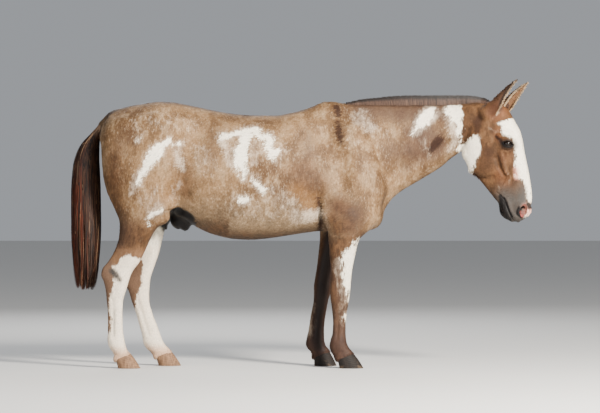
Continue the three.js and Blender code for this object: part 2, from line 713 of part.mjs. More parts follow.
// One tail lock: it leaves the dock, settles to its own place in the tail and hangs to its tip
function tailLock(layer, angle, random) {
  const root = lerp(layer.roots[0], layer.roots[1], random());
  const tip = lerp(layer.tips[0], layer.tips[1], random());
  const steps = 6;
  const sway = 0.05 * (random() - 0.5);
  const rings = [];
  for (let i = 0; i <= steps; i += 1) {
    const share = i / steps;
    const z = lerp(root, tip, share ** 1.15);
    const settled = clamp((root - z) / tailSettle, 0, 1);
    const ease = settled * settled * (3 - 2 * settled);
    const around = angle + sway * Math.sin(7 * share) + 0.06 * Math.sin(5 * share + 9 * angle);
    const half = tailHalf(z) * layer.reach;
    const x = lerp(dockMiddle(Math.max(z, 1110)), tailMiddle(z) + half * Math.cos(around), ease);
    const y = half * tailSideShare * Math.sin(around) * ease;
    const wide = new THREE.Vector3(-Math.sin(around), Math.cos(around), 0);
    const halfWidth = layer.halfWidth * lockTaper(share);
    const halfDepth = halfWidth * lockThickness;
    rings.push({ centre: new THREE.Vector3(x, y, z), wide, halfWidth, halfDepth });
  }
  return solid(lockForm(rings));
}

// A flat tapered lock with a low ridge: three points at each step of its path
function lockForm(rings) {
  const positions = [];
  rings.forEach(({ centre, wide, halfWidth, halfDepth }, i) => {
    const before = rings[Math.max(i - 1, 0)].centre;
    const after = rings[Math.min(i + 1, rings.length - 1)].centre;
    const along = after.clone().sub(before).normalize();
    const deep = new THREE.Vector3().crossVectors(along, wide).normalize();
    for (const [a, b] of [[halfWidth, -0.4 * halfDepth], [0, halfDepth], [-halfWidth, -0.4 * halfDepth]]) {
      const point = centre.clone().addScaledVector(wide, a).addScaledVector(deep, b);
      positions.push(point.x, point.y, point.z);
    }
  });
  const triangles = [0, 2, 1];
  const last = 3 * (rings.length - 1);
  for (let ring = 0; ring < last; ring += 3) {
    for (let i = 0; i < 3; i += 1) {
      const a = ring + i;
      const b = ring + ((i + 1) % 3);
      triangles.push(a, b, b + 3, a, b + 3, a + 3);
    }
  }
  triangles.push(last, last + 1, last + 2);
  return indexed(positions, triangles);
}

function seeded(seed) {
  let state = seed;
  return () => {
    state = (state * 16807) % 2147483647;
    return state / 2147483647;
  };
}

function makeTail() {
  const random = seeded(41);
  const rings = dock.map(([z, x, radius]) => ({ centre: [x, 0, z], along: radius, across: radius }));
  const pieces = [solid(loft(rings, 10))];
  for (const layer of tailLayers) {
    for (let i = 0; i < layer.count; i += 1) {
      const angle = (2 * Math.PI * (i + 0.5 + 0.25 * (random() - 0.5))) / layer.count;
      pieces.push(tailLock(layer, angle, random));
    }
  }
  return wasm.Manifold.union(pieces);
}

// A closed loft through flat oval rings, listed from the top down
function loft(rings, sides) {
  const positions = [];
  for (const { centre, along, across } of rings) {
    for (let i = 0; i < sides; i += 1) {
      const angle = (2 * Math.PI * i) / sides;
      const x = centre[0] + along * Math.cos(angle);
      positions.push(x, centre[1] + across * Math.sin(angle), centre[2]);
    }
  }
  const triangles = [];
  for (let ring = 0; ring < rings.length - 1; ring += 1) {
    for (let i = 0; i < sides; i += 1) {
      const a = ring * sides + i;
      const b = ring * sides + ((i + 1) % sides);
      triangles.push(a, b + sides, b, a, a + sides, b + sides);
    }
  }
  const last = (rings.length - 1) * sides;
  for (let i = 1; i < sides - 1; i += 1) {
    triangles.push(0, i, i + 1);
    triangles.push(last, last + i + 1, last + i);
  }
  return indexed(positions, triangles);
}

// The line of the mane's tips along the crest
const maneLine = curve([
  [262, 1506], [290, 1513], [334, 1524], [390, 1531], [447, 1536], [504, 1542], [620, 1548],
  [904, 1548], [960, 1545], [1020, 1541], [1052, 1532],
]);
const maneHalfWidth = 10;
const maneRoot = 16;
const maneCoreShare = 0.45;
const maneLock = { spacing: 25, halfWidth: 17, halfDepth: 9, offset: 3, lean: -9 };

// The low core of the mane along the crest
function maneCore() {
  const xs = lines(266, 1048, 52);
  const positions = [];
  for (const x of xs) {
    const root = backLine(x) - maneRoot;
    const top = lerp(backLine(x), maneLine(x), maneCoreShare);
    const section = [[-maneHalfWidth, root], [-maneHalfWidth * 0.55, top], [maneHalfWidth * 0.55, top],
      [maneHalfWidth, root]];
    for (const [y, z] of section) positions.push(...turned(x, y, z));
  }
  const triangles = [0, 1, 2, 0, 2, 3];
  const last = 4 * (xs.length - 1);
  for (let ring = 0; ring < last; ring += 4) {
    for (let i = 0; i < 4; i += 1) {
      const a = ring + i;
      const b = ring + ((i + 1) % 4);
      triangles.push(a, b + 4, b, a, a + 4, b + 4);
    }
  }
  triangles.push(last, last + 2, last + 1, last, last + 3, last + 2);
  return solid(indexed(positions, triangles));
}

// Upright clipped locks, side by side along the crest and leaning a little back
function makeMane() {
  const random = seeded(7);
  const pieces = [maneCore()];
  let side = 1;
  for (let x = 272; x < 1050; x += maneLock.spacing) {
    side = -side;
    const tip = maneLine(x) + 5 * (random() - 0.6);
    const root = backLine(x) - 8;
    const lean = maneLock.lean * (0.4 + random());
    const rings = [[0, 1], [0.72, 0.9], [1, 0.3]].map(([share, shape]) => {
      const y = side * maneLock.offset * (1 - 0.6 * share);
      const place = turned(x + lean * share * share, y, lerp(root, tip, share));
      const wide = new THREE.Vector3(-side * Math.cos(turn(x)), side * Math.sin(turn(x)), 0);
      return {
        centre: new THREE.Vector3(...place),
        wide,
        halfWidth: maneLock.halfWidth * shape,
        halfDepth: maneLock.halfDepth * shape,
      };
    });
    pieces.push(solid(lockForm(rings)));
  }
  return wasm.Manifold.union(pieces);
}

// A solid moved a little each way, to keep the parting gap to what grows from it
function clearOf(shape, neighbour, moves) {
  let result = shape;
  for (const move of moves) {
    result = result.subtract(neighbour.translate(move));
  }
  return result;
}

// Ears: a leaf that closes to a tube at its root and opens towards its tip
const earSpread = curve([[0, 36], [0.18, 37], [0.42, 31], [0.62, 25], [0.8, 17], [0.93, 8], [1, 2.5]]);
const earWrap = curve([[0, 2.5], [0.25, 2.1], [0.5, 1.75], [0.8, 1.4], [1, 1.2]]);
const earWall = curve([[0, 8], [0.4, 6], [1, 2]]);

function makeEar({ base, tip, opening }) {
  const from = new THREE.Vector3(...base);
  const axis = new THREE.Vector3(...tip).sub(from);
  const length = axis.length();
  axis.normalize();
  const open = new THREE.Vector3(...opening).addScaledVector(axis, -new THREE.Vector3(...opening).dot(axis));
  open.normalize();
  const side = new THREE.Vector3().crossVectors(axis, open);
  const around = 8;
  const shares = [-0.1, 0.06, 0.18, 0.3, 0.45, 0.6, 0.74, 0.86, 0.95, 1];
  const positions = [];
  for (const share of shares) {
    const s = Math.max(share, 0);
    const wrap = earWrap(s);
    const outer = earSpread(s) / Math.sin(Math.min(wrap, Math.PI / 2));
    const inner = Math.max(outer - earWall(s), 0.6);
    const bend = 4 * Math.sin(Math.PI * s);
    const middle = from.clone().addScaledVector(axis, share * length).addScaledVector(open, -bend);
    middle.addScaledVector(open, outer * 0.35);
    for (const [radius, direction] of [[outer, 1], [inner, -1]]) {
      for (let i = 0; i <= around; i += 1) {
        const angle = direction * lerp(-wrap, wrap, i / around);
        const point = middle.clone().addScaledVector(open, -radius * Math.cos(angle));
        point.addScaledVector(side, radius * Math.sin(angle));
        positions.push(...turned(point.x, point.y, point.z));
      }
    }
  }
  const ring = 2 * (around + 1);
  const triangles = [];
  for (let r = 0; r < shares.length - 1; r += 1) {
    for (let i = 0; i < ring; i += 1) {
      const a = r * ring + i;
      const b = r * ring + ((i + 1) % ring);
      triangles.push(a, b + ring, b, a, a + ring, b + ring);
    }
  }
  const last = (shares.length - 1) * ring;
  for (let i = 0; i < around; i += 1) {
    const j = ring - 1 - i;
    triangles.push(i, i + 1, j, i + 1, j - 1, j);
    triangles.push(last + i, last + j, last + i + 1, last + i + 1, last + j, last + j - 1);
  }
  return solid(indexed(positions, triangles));
}

// A thin round slice across an ear, where it is parted from the head
function earSlice({ base, tip }) {
  const from = new THREE.Vector3(...base);
  const to = new THREE.Vector3(...tip);
  const at = from.clone().lerp(to, earCutShare);
  const start = new THREE.Vector3(...turned(from.x, from.y, from.z));
  const end = new THREE.Vector3(...turned(to.x, to.y, to.z));
  const axis = end.sub(start).normalize();
  const disc = new THREE.CylinderGeometry(44, 44, partingGap, 24);
  disc.applyQuaternion(new THREE.Quaternion().setFromUnitVectors(new THREE.Vector3(0, 1, 0), axis));
  disc.translate(...turned(at.x, at.y, at.z));
  return solid(disc);
}

// A point of the head, from its place down, forward and out on one side
function headPoint([down, forward, out], side) {
  const [x, z] = fromHead(down, forward);
  return new THREE.Vector3(...turned(x, side * out, z));
}

function eyeball(side, radius) {
  const ball = new THREE.SphereGeometry(radius, 12, 8);
  const centre = headPoint(eyePlace, side);
  ball.translate(centre.x, centre.y, centre.z);
  return solid(ball);
}

// The almond between the lids, cut outwards from the middle of the eye
function eyeSlit(side) {
  const outline = new THREE.Shape();
  const points = 12;
  for (let i = 0; i < points; i += 1) {
    const angle = (2 * Math.PI * i) / points;
    const u = eyeOpening.halfLength * Math.cos(angle);
    const v = eyeOpening.halfHeight * Math.sin(angle) * (1 - 0.25 * Math.cos(angle) ** 2);
    if (i === 0) outline.moveTo(u, v);
    else outline.lineTo(u, v);
  }
  const slit = new THREE.ExtrudeGeometry(outline, { depth: 40, bevelEnabled: false, curveSegments: 1 });
  const gaze = eyeDirection(side);
  const level = new THREE.Vector3(1, 0, -Math.tan(THREE.MathUtils.degToRad(eyeOpening.lean)));
  const long = level.addScaledVector(gaze, -level.dot(gaze)).normalize();
  const tall = new THREE.Vector3().crossVectors(gaze, long);
  const matrix = new THREE.Matrix4().makeBasis(long, tall, gaze);
  matrix.setPosition(headPoint(eyePlace, side).addScaledVector(gaze, eyeRadius * 0.45));
  slit.applyMatrix4(matrix);
  return solid(slit);
}

function eyeDirection(side) {
  const ahead = eyePlace.map((value, i) => value + 100 * eyeGaze[i]);
  return headPoint(ahead, side).sub(headPoint(eyePlace, side)).normalize();
}

// The line between the lips, from one corner round the front to the other
const mouthLine = [[493, -44], [514, -33], [555, -28], [606, -24], [645, -16], [664, -10]];
const mouthGroove = 4;

function makeMouth() {
  const sideways = mouthLine.map(([down, forward]) => {
    let low = 0;
    let high = 90;
    for (let i = 0; i < 24; i += 1) {
      const out = (low + high) / 2;
      const [x, z] = fromHead(down, forward);
      if (body(x, out, z) < 0) low = out;
      else high = out;
    }
    return [down, forward, low];
  });
  const right = sideways.map((place) => headPoint(place, -1));
  const left = sideways.map((place) => headPoint(place, 1)).reverse();
  const front = headPoint([675, -8, 0], 1);
  const path = new THREE.CatmullRomCurve3([...right, front, ...left], false, 'centripetal');
  const section = new THREE.Shape();
  section.moveTo(mouthGroove, 0);
  section.lineTo(0, mouthGroove * 0.7);
  section.lineTo(-mouthGroove, 0);
  section.lineTo(0, -mouthGroove * 0.7);
  const tube = new THREE.ExtrudeGeometry(section, { steps: 26, extrudePath: path, bevelEnabled: false });
  return solid(tube);
}

// The model
const mule = new THREE.Group();
mule.name = 'mule';

function addPart(name, geometry, material) {
  const mesh = new THREE.Mesh(geometry, material);
  mesh.name = name;
  mule.add(mesh);
}

const torso = makeTorso();
const neck = makeNeck();
const earShapes = Object.fromEntries(Object.entries(ears).map(([name, ear]) => [name, makeEar(ear)]));
const headPieces = makeHead(earShapes).decompose().sort((a, b) => b.volume() - a.volume());
const headSolid = headPieces[0];
const upward = [[0, 0, 0.35], [0, 0.35, 0.2], [0, -0.35, 0.2]];
const backward = [[-0.35, 0, 0.3], [-0.25, 0.35, 0], [-0.25, -0.35, 0]];

addPart('torso', plain(torso), finish(colours.coat));
addPart('neck', plain(neck), finish(colours.coat));
addPart('head', plain(headSolid), finish(colours.coat));
for (const name of Object.keys(ears)) {
  const side = name === 'ear_right' ? -1 : 1;
  const piece = headPieces.slice(1, 3).find((shape) => {
    const box = shape.boundingBox();
    const middle = (box.min[1] + box.max[1]) / 2;
    return (middle - turned(ears[name].tip[0], 0, 0)[1]) * side > 0;
  });
  addPart(name, plain(piece), finish(colours.darkCoat));
}
for (const [name, side] of [['eye_right', -1], ['eye_left', 1]]) {
  addPart(name, plain(eyeball(side, eyeRadius)), finish(colours.eye, 0.15));
}
let mane = makeMane();
for (const neighbour of [torso, neck, headSolid]) {
  mane = clearOf(mane, neighbour, upward);
}
addPart('mane', largest(mane), finish(colours.mane));
for (const name of Object.keys(legs)) {
  addPart(`leg_${name}`, makeLegMesh(name), finish(colours.paleCoat));
}
for (const [name, hoof] of Object.entries(hooves)) {
  addPart(name, makeHoof(hoof), finish(name === 'hoof_hind_right' ? colours.paleHoof : colours.hoof, 0.6));
}
addPart('tail', largest(clearOf(makeTail(), torso, backward)), finish(colours.tail));

export default mule;
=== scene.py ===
# %% [markdown]
# # A live mule, standing, seen from its right side
#
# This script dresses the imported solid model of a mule. One smooth skin takes the place of the
# solid flesh. Over it lie a coat of small tufts with the coat's markings, a clipped mane, a long
# tail, eyes, lashes, feelers and ringed hooves. Lengths are in millimetres until a mesh is made,
# and in metres from then on. The mule looks along +X and its right side, at -Y, faces the camera.

import math

import bpy
import numpy as np
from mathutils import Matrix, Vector


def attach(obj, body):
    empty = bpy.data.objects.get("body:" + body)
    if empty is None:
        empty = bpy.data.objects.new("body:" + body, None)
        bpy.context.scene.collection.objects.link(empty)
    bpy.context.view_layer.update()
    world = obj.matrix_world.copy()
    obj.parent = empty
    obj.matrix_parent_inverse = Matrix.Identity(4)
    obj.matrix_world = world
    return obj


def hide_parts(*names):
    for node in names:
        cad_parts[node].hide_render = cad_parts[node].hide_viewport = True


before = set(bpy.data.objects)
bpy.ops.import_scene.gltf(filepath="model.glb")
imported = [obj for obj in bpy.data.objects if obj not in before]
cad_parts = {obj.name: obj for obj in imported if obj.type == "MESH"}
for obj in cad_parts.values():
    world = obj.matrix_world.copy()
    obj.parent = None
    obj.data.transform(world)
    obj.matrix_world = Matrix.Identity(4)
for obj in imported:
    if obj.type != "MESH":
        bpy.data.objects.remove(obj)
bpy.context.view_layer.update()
rng = np.random.default_rng(11)
MM = 0.001

# %% [markdown]
# ## The form of the mule
#
# The skin has to be one closed surface from the nose to the coronets, because a seam at the neck
# or at a shoulder would show. A surface like that could be sculpted by hand or lofted limb by
# limb. Here it is a distance: a function that says how far any point lies outside the flesh. Two
# distances join with a rounded valley between them, which is how muscle runs into muscle. All
# measures are in millimetres, and they are those of the solid model.

# %% Curves through a few measures
def lerp(a, b, t):
    return a + (b - a) * t


def ease(t):
    """0 below 0, 1 above 1, and a gentle slope between."""
    t = np.clip(t, 0, 1)
    return t * t * (3 - 2 * t)


def curve(points):
    """A smooth line through (position, value) pairs that doesn't overshoot them."""
    at, value = (np.array(column, float) for column in zip(*points))
    gradient = np.diff(value) / np.diff(at)
    before, after = gradient[:-1], gradient[1:]
    both = np.where(before + after == 0, 1, before + after)
    inner = np.where(before * after > 0, 2 * before * after / both, 0)
    slope = np.concatenate([gradient[:1], inner, gradient[-1:]])

    def follow(position):
        t = np.clip(position, at[0], at[-1])
        i = np.clip(np.searchsorted(at, t, side="right") - 1, 0, len(at) - 2)
        step = at[i + 1] - at[i]
        s = (t - at[i]) / step
        bend = slope[i] * s * (1 - s) ** 2 - slope[i + 1] * s * s * (1 - s)
        return lerp(value[i], value[i + 1], s * s * (3 - 2 * s)) + step * bend

    return follow


def curves(rows):
    """One curve for each column of a table whose first column is the position."""
    return [curve([(row[0], row[c]) for row in rows]) for c in range(1, len(rows[0]))]


# %% Distances and how they join
def join(a, b, blend):
    """Two distances as one, with a rounded valley `blend` wide where they meet."""
    h = np.maximum(blend - np.abs(a - b), 0) / blend
    return np.minimum(a, b) - h * h * blend / 4


def carve(a, b, blend):
    """The first distance with the second taken out of it."""
    return -join(-a, b, blend)


def oval(side, rise, half_width, half_height, power):
    """Distance to an oval; its power is 2 for an ellipse and more for a squarer one."""
    a = np.abs(side) / half_width
    b = np.abs(rise) / half_height
    r = np.maximum((a**power + b**power) ** (1 / power), 1e-5)
    reach = np.hypot(side, rise)
    return np.where(r > 1e-4, reach - reach / r, -np.minimum(half_width, half_height))


def ellipsoid(p, centre, radii):
    q = [(value - c) / r for value, c, r in zip(p, centre, radii)]
    near = np.sqrt(sum(value * value for value in q))
    slope = np.sqrt(sum((value / r) ** 2 for value, r in zip(q, radii)))
    return near * (near - 1) / np.maximum(slope, 1e-9)


def rod(p, start, end, radius_start, radius_end):
    """Distance to a rod between two points, with its own radius at each end."""
    along = [b - a for a, b in zip(start, end)]
    offset = [value - a for value, a in zip(p, start)]
    length2 = sum(value * value for value in along)
    t = np.clip(sum(o * a for o, a in zip(offset, along)) / length2, 0, 1)
    gap = np.sqrt(sum((o - t * a) ** 2 for o, a in zip(offset, along)))
    return gap - lerp(radius_start, radius_end, t)


def rods(p, points, blend=0):
    """Distance to a chain of rods. Each point is its place and then its radius."""
    found = np.inf
    for a, b in zip(points[:-1], points[1:]):
        piece = rod(p, a[:-1], b[:-1], a[-1], b[-1])
        found = join(found, piece, blend) if blend else np.minimum(found, piece)
    return found


# %% Trunk and neck
back_line = curve([
    (-1118, 1385), (-1109, 1408), (-1092, 1431), (-1035, 1468), (-978, 1488), (-921, 1499),
    (-807, 1515), (-750, 1513), (-636, 1493), (-522, 1469), (-408, 1449), (-294, 1438),
    (-150, 1436), (-66, 1449), (48, 1481), (145, 1515), (190, 1514), (236, 1506), (334, 1500),
    (560, 1497), (790, 1497), (904, 1500), (989, 1508), (1046, 1508),
])
belly_line = curve([
    (-1118, 1310), (-1050, 1180), (-950, 1040), (-850, 950), (-760, 885), (-680, 838),
    (-579, 787), (-522, 761), (-465, 744), (-380, 728), (-294, 724), (-200, 731), (-100, 745),
    (0, 761), (100, 773), (220, 778), (330, 785), (400, 812), (440, 850), (480, 910),
    (505, 948), (562, 998), (676, 1067), (790, 1138), (846, 1181), (921, 1245), (1000, 1325),
    (1046, 1390),
])
trunk_width = curve([
    (-1118, 60), (-1060, 120), (-980, 175), (-880, 215), (-770, 232), (-650, 240), (-500, 262),
    (-350, 276), (-200, 278), (-60, 262), (60, 232), (160, 200), (260, 170), (360, 145),
    (450, 124), (540, 108), (680, 94), (820, 84), (920, 79), (1046, 70),
])
widest_height = curve([
    (-1118, 1350), (-980, 1330), (-850, 1300), (-700, 1190), (-500, 1090), (-300, 1055),
    (-100, 1060), (100, 1070), (260, 1110), (400, 1160), (560, 1230), (760, 1320), (900, 1385),
    (1046, 1450),
])
back_roundness = curve([
    (-1118, 2), (-900, 2.1), (-600, 2.0), (-300, 2.15), (-50, 1.9), (120, 1.45), (230, 1.4),
    (400, 1.6), (700, 1.75), (1046, 2),
])
belly_roundness = curve([
    (-1118, 2), (-700, 2.1), (-300, 2.15), (100, 2.3), (400, 2.3), (560, 2.1), (1046, 2.1),
])
TRUNK_ENDS = (-1112, 1046)


def trunk(x, y, z):
    s = np.clip(x, *TRUNK_ENDS)
    middle = widest_height(s)
    above = z > middle
    reach = np.where(above, back_line(s) - middle, middle - belly_line(s))
    roundness = np.where(above, back_roundness(s), belly_roundness(s))
    wall = oval(y, z - middle, trunk_width(s), reach, roundness)
    past_end = np.maximum(TRUNK_ENDS[0] - x, x - TRUNK_ENDS[1])
    return carve(wall, -past_end, 50)


# %% Legs
# Each row is a height, then the front edge, the back edge, the distance out from the middle,
# the half width, and how much the back edge narrows
THIGH = [
    (1100, -705, -1126, 134, 114, 0), (1200, -705, -1134, 125, 120, 0), (1300, -735, -1138, 112, 116, 0),
    (1400, -800, -1095, 90, 95, 0),
]
SHOULDER = [
    (1010, 458, 120, 138, 78, 0), (1110, 436, 142, 124, 76, 0), (1230, 390, 165, 100, 66, 0),
    (1350, 320, 178, 74, 48, 0),
]
LEGS = {
    "hind_right": [
        (30, -935, -1040, 128, 38, 0), (75, -966, -1052, 128, 38, 0), (102, -986, -1074, 128, 35, 0),
        (132, -997, -1091, 128, 37, 0), (165, -1004, -1098, 128, 35, 0), (215, -1011, -1098, 129, 29, 0),
        (300, -1014, -1098, 130, 28, 0), (384, -1010, -1104, 131, 33, 0), (441, -993, -1110, 132, 41, 0.1),
        (491, -979, -1121, 133, 44, 0.25), (530, -966, -1135, 134, 43, 0.4), (565, -946, -1128, 135, 42, 0.5),
        (600, -918, -1100, 136, 45, 0.5), (665, -884, -1062, 138, 53, 0.45), (740, -850, -1037, 140, 64, 0.4),
        (820, -800, -1031, 142, 80, 0.3), (900, -752, -1058, 143, 92, 0.2),
        (1000, -722, -1103, 140, 104, 0.1), *THIGH,
    ],
    "hind_left": [
        (30, -705, -820, 128, 38, 0), (70, -735, -850, 128, 38, 0), (98, -760, -885, 128, 35, 0),
        (125, -785, -902, 128, 37, 0), (160, -803, -910, 128, 34, 0), (210, -820, -925, 129, 29, 0),
        (300, -855, -950, 130, 28, 0), (370, -873, -975, 131, 33, 0), (420, -874, -990, 132, 41, 0.1),
        (460, -871, -1005, 133, 44, 0.25), (490, -868, -1004, 134, 43, 0.4), (530, -858, -986, 135, 42, 0.5),
        (580, -840, -966, 136, 45, 0.5), (650, -815, -958, 138, 53, 0.45), (730, -795, -972, 140, 64, 0.4),
        (820, -770, -1005, 142, 80, 0.3), (900, -745, -1045, 143, 92, 0.2),
        (1000, -722, -1100, 140, 104, 0.1), *THIGH,
    ],
    "fore_right": [
        (30, 330, 215, 118, 38, 0), (62, 312, 195, 118, 38, 0), (92, 290, 172, 118, 34, 0),
        (124, 266, 161, 118, 36, 0), (158, 255, 166, 118, 35, 0), (203, 251, 175, 119, 28, 0),
        (262, 252, 178, 119, 25, 0), (315, 258, 174, 120, 27, 0), (356, 265, 169, 121, 34, 0),
        (400, 272, 163, 121, 42, 0), (441, 277, 161, 122, 43, 0), (497, 281, 164, 124, 40, 0),
        (554, 287, 166, 126, 42, 0), (640, 305, 157, 129, 52, 0), (723, 326, 152, 133, 62, 0),
        (790, 390, 146, 138, 72, 0), (850, 436, 130, 143, 76, 0), (920, 448, 112, 144, 76, 0), *SHOULDER,
    ],
    "fore_left": [
        (30, 190, 78, 118, 38, 0), (68, 172, 72, 118, 38, 0), (92, 158, 46, 118, 34, 0),
        (122, 138, 27, 118, 36, 0), (160, 131, 32, 118, 35, 0), (215, 131, 41, 119, 28, 0),
        (275, 137, 50, 119, 25, 0), (330, 146, 61, 120, 27, 0), (375, 155, 69, 121, 34, 0),
        (412, 166, 70, 121, 42, 0), (450, 175, 70, 122, 43, 0), (497, 184, 76, 124, 40, 0),
        (565, 200, 87, 126, 42, 0), (650, 235, 96, 129, 52, 0), (735, 280, 104, 133, 62, 0),
        (800, 370, 104, 138, 72, 0), (860, 428, 104, 143, 76, 0), (920, 448, 106, 144, 76, 0), *SHOULDER,
    ],
}

# For each leg -1 on the right side or 1 on the left, and then its five curves
leg_curves = {name: (-1 if name.endswith("right") else 1, *curves(rows)) for name, rows in LEGS.items()}


def make_leg(name):
    side, front, back, out, width, narrowing = leg_curves[name]
    lowest, highest = LEGS[name][0][0], LEGS[name][-1][0]

    def leg(x, y, z):
        s = np.clip(z, lowest, highest)
        half_length = (front(s) - back(s)) / 2
        along = x - (front(s) + back(s)) / 2
        slim = 1 + narrowing(s) * np.clip(along / half_length, -1, 0.6)
        wall = oval(y - side * out(s), along, width(s) * slim, half_length, 2.2)
        return carve(wall, -np.maximum(lowest - z, z - highest), 40)

    return leg


leg_forms = [make_leg(name) for name in LEGS]
print("legs:", list(LEGS))

# %% Muscles and bones that show
# Each is a centre and radii as x, out from the middle, and z, then how softly it joins
SWELLS = [
    ((-768, 190, 1335), (85, 46, 62), 80),
    ((-790, 160, 895), (58, 66, 80), 50),
    ((412, 122, 1010), (58, 62, 72), 50),
    ((134, 158, 912), (44, 42, 52), 35),
    ((400, 70, 868), (66, 66, 82), 60),
]
SHEATH = [((-690, 0, 842), (62, 44, 62), 30), ((-662, 0, 812), (30, 26, 34), 14)]


def hind_flesh(x, y, z):
    """Trunk, neck and legs, without the head."""
    d = trunk(x, y, z)
    leg_blend = lerp(38, 110, np.clip((z - 780) / 250, 0, 1))
    for leg in leg_forms:
        d = join(d, leg(x, y, z), leg_blend)
    for centre, radii, blend in SWELLS + SHEATH:
        d = join(d, ellipsoid((x, np.abs(y), z), centre, radii), blend)
    return d


# %% Head
POLL = (1074, 1488)
TILT = math.radians(13)
SLANT = math.sin(TILT), math.cos(TILT)
head_front = curve([
    (-14, 0), (0, 40), (18, 70), (45, 89), (89, 103), (126, 112), (183, 126), (218, 127),
    (300, 123), (404, 121), (500, 115), (545, 109), (575, 101), (606, 87), (635, 64),
    (660, 36), (674, 4),
])
head_back = curve([
    (-14, -60), (0, -110), (60, -150), (130, -180), (199, -206), (250, -219), (300, -219),
    (342, -202), (394, -156), (457, -123), (523, -92), (550, -80), (578, -82), (614, -81),
    (644, -62), (664, -36), (674, -12),
])
head_width = curve([
    (-14, 30), (0, 44), (40, 62), (100, 78), (170, 86), (240, 86), (310, 78), (370, 66),
    (430, 56), (490, 50), (550, 49), (600, 51), (640, 46), (662, 34), (674, 18),
])
head_widest = curve([
    (-14, -30), (60, -20), (170, 20), (260, 10), (340, 10), (430, 20), (520, 18), (600, 10),
    (674, -2),
])
HEAD_ENDS = (-14, 674)
# Swellings on both sides, as down the face, forward and out, with their radii and blend
HEAD_SWELLS = [
    ((222, 52, 62), (58, 46, 38), 28),
    ((190, -70, 56), (95, 90, 32), 30),
    ((285, -95, 46), (80, 72, 34), 30),
    ((610, 40, 30), (44, 40, 26), 18),
    ((640, 10, 16), (33, 40, 34), 16),
    ((600, -52, 0), (42, 26, 34), 14),
]


def to_head(x, z):
    """Distance down the face and forward of it."""
    dx, dz = x - POLL[0], z - POLL[1]
    return dx * SLANT[0] - dz * SLANT[1], dx * SLANT[1] + dz * SLANT[0]


def from_head(down, forward):
    """The reverse: x and z of the straight mule, before the neck is turned."""
    return POLL[0] + down * SLANT[0] + forward * SLANT[1], POLL[1] - down * SLANT[1] + forward * SLANT[0]


def head(x, y, z):
    down, forward = to_head(x, z)
    s = np.clip(down, *HEAD_ENDS)
    middle = head_widest(s)
    ahead = forward > middle
    reach = np.where(ahead, head_front(s) - middle, middle - head_back(s))
    wall = oval(y, forward - middle, head_width(s), reach, np.where(ahead, 2.3, 3.0))
    d = carve(wall, -np.maximum(HEAD_ENDS[0] - down, down - HEAD_ENDS[1]), 30)
    p = (down, forward, np.abs(y))
    for centre, radii, blend in HEAD_SWELLS:
        d = join(d, ellipsoid(p, centre, radii), blend)
    d = join(d, rod(p, (275, 8, 76), (392, 4, 60), 11, 8), 16)
    d = carve(d, ellipsoid(p, (420, -196, 0), (170, 52, 22)), 20)
    return d


# %% The turn of the neck
HEAD_TURN = math.radians(15)
TURN_FROM, TURN_TO = 330, 1060
_steps = np.linspace(TURN_FROM, TURN_TO, 241)


def turn(x):
    """The angle, towards the mule's right, that the neck has reached at x."""
    return HEAD_TURN * ease((x - TURN_FROM) / (TURN_TO - TURN_FROM))


_middles = (_steps[1:] + _steps[:-1]) / 2
_shift = np.concatenate([[0], np.cumsum(np.tan(turn(_middles)) * np.diff(_steps))])


def shift(x):
    beyond = np.maximum(x - TURN_TO, 0) * math.tan(HEAD_TURN)
    return np.interp(x, _steps, _shift) + beyond


def turned(x, y, z):
    """A point of the straight mule, moved to where the turned neck takes it."""
    angle = turn(x)
    return x + y * np.sin(angle), y * np.cos(angle) - shift(x), z

# %% [markdown]
# ## Eyes, ears, nostrils and mouth
#
# The head gets the most care. Its small forms are measured on the head itself: how far down the
# face from the poll, how far forward of the face's own line, and how far out from the middle.
# An eyelid is a shell round the eyeball with an almond cut through it, so the lid is as thick as
# a real one and the eye sits deep. A line on the skin, such as a crease or the parting of the
# lips, follows a few places whose distance out is found on the skin.

# %% Places on the head
EYE_PLACE = (236, 58, 80)
EYE_RADIUS = 24
LID_RADIUS = 29.5
EYE_GAZE = (0.05, 0.22, 0.97)
EYE_LEAN = math.radians(10)
SLIT_HALF_LENGTH = 23.5
SLIT_UPPER, SLIT_LOWER = 13.5, 10.5
THROAT_BLEND = 24
HALVINGS = 24


def unit(vector):
    vector = np.asarray(vector, float)
    return vector / np.linalg.norm(vector, axis=-1, keepdims=True)


# The eye's own axes in head measures: along the slit, up, and outwards
EYE_OUT = unit(EYE_GAZE)
_lean = math.tan(EYE_LEAN)
_level = np.array([SLANT[0] + SLANT[1] * _lean, SLANT[1] - SLANT[0] * _lean, 0])
EYE_LONG = unit(_level - _level.dot(EYE_OUT) * EYE_OUT)
EYE_TALL = np.cross(EYE_OUT, EYE_LONG)
if EYE_TALL[0] > 0:
    EYE_TALL = -EYE_TALL


def lens(along, up, half_length, upper, lower):
    """Distance to an almond made of two arcs."""
    def arc(sign, height):
        radius = (half_length**2 + height**2) / (2 * height)
        return np.hypot(along, up + sign * (radius - height)) - radius

    return np.maximum(arc(1, upper), arc(-1, lower))


def flesh(x, y, z):
    """The plain flesh as it is in the solids: trunk, neck, legs and head."""
    return join(hind_flesh(x, y, z), head(x, y, z), THROAT_BLEND)


def reach_out(x, z, low, high):
    """How far out the side of the flesh is, found by halving between two guesses."""
    for _ in range(HALVINGS):
        out = (low + high) / 2
        inside = float(flesh(np.array([x]), np.array([-out]), np.array([z]))[0]) < 0
        low, high = (out, high) if inside else (low, out)
    return low


def side_out(down, forward):
    """How far out the side of the head is at a place down and forward."""
    return reach_out(*from_head(down, forward), 0.0, 140.0)


def on_head(points, sunk=0.0):
    """Rods along the side of the head, from places as down, forward and radius."""
    return [(down, forward, side_out(down, forward) - sunk, radius) for down, forward, radius in points]


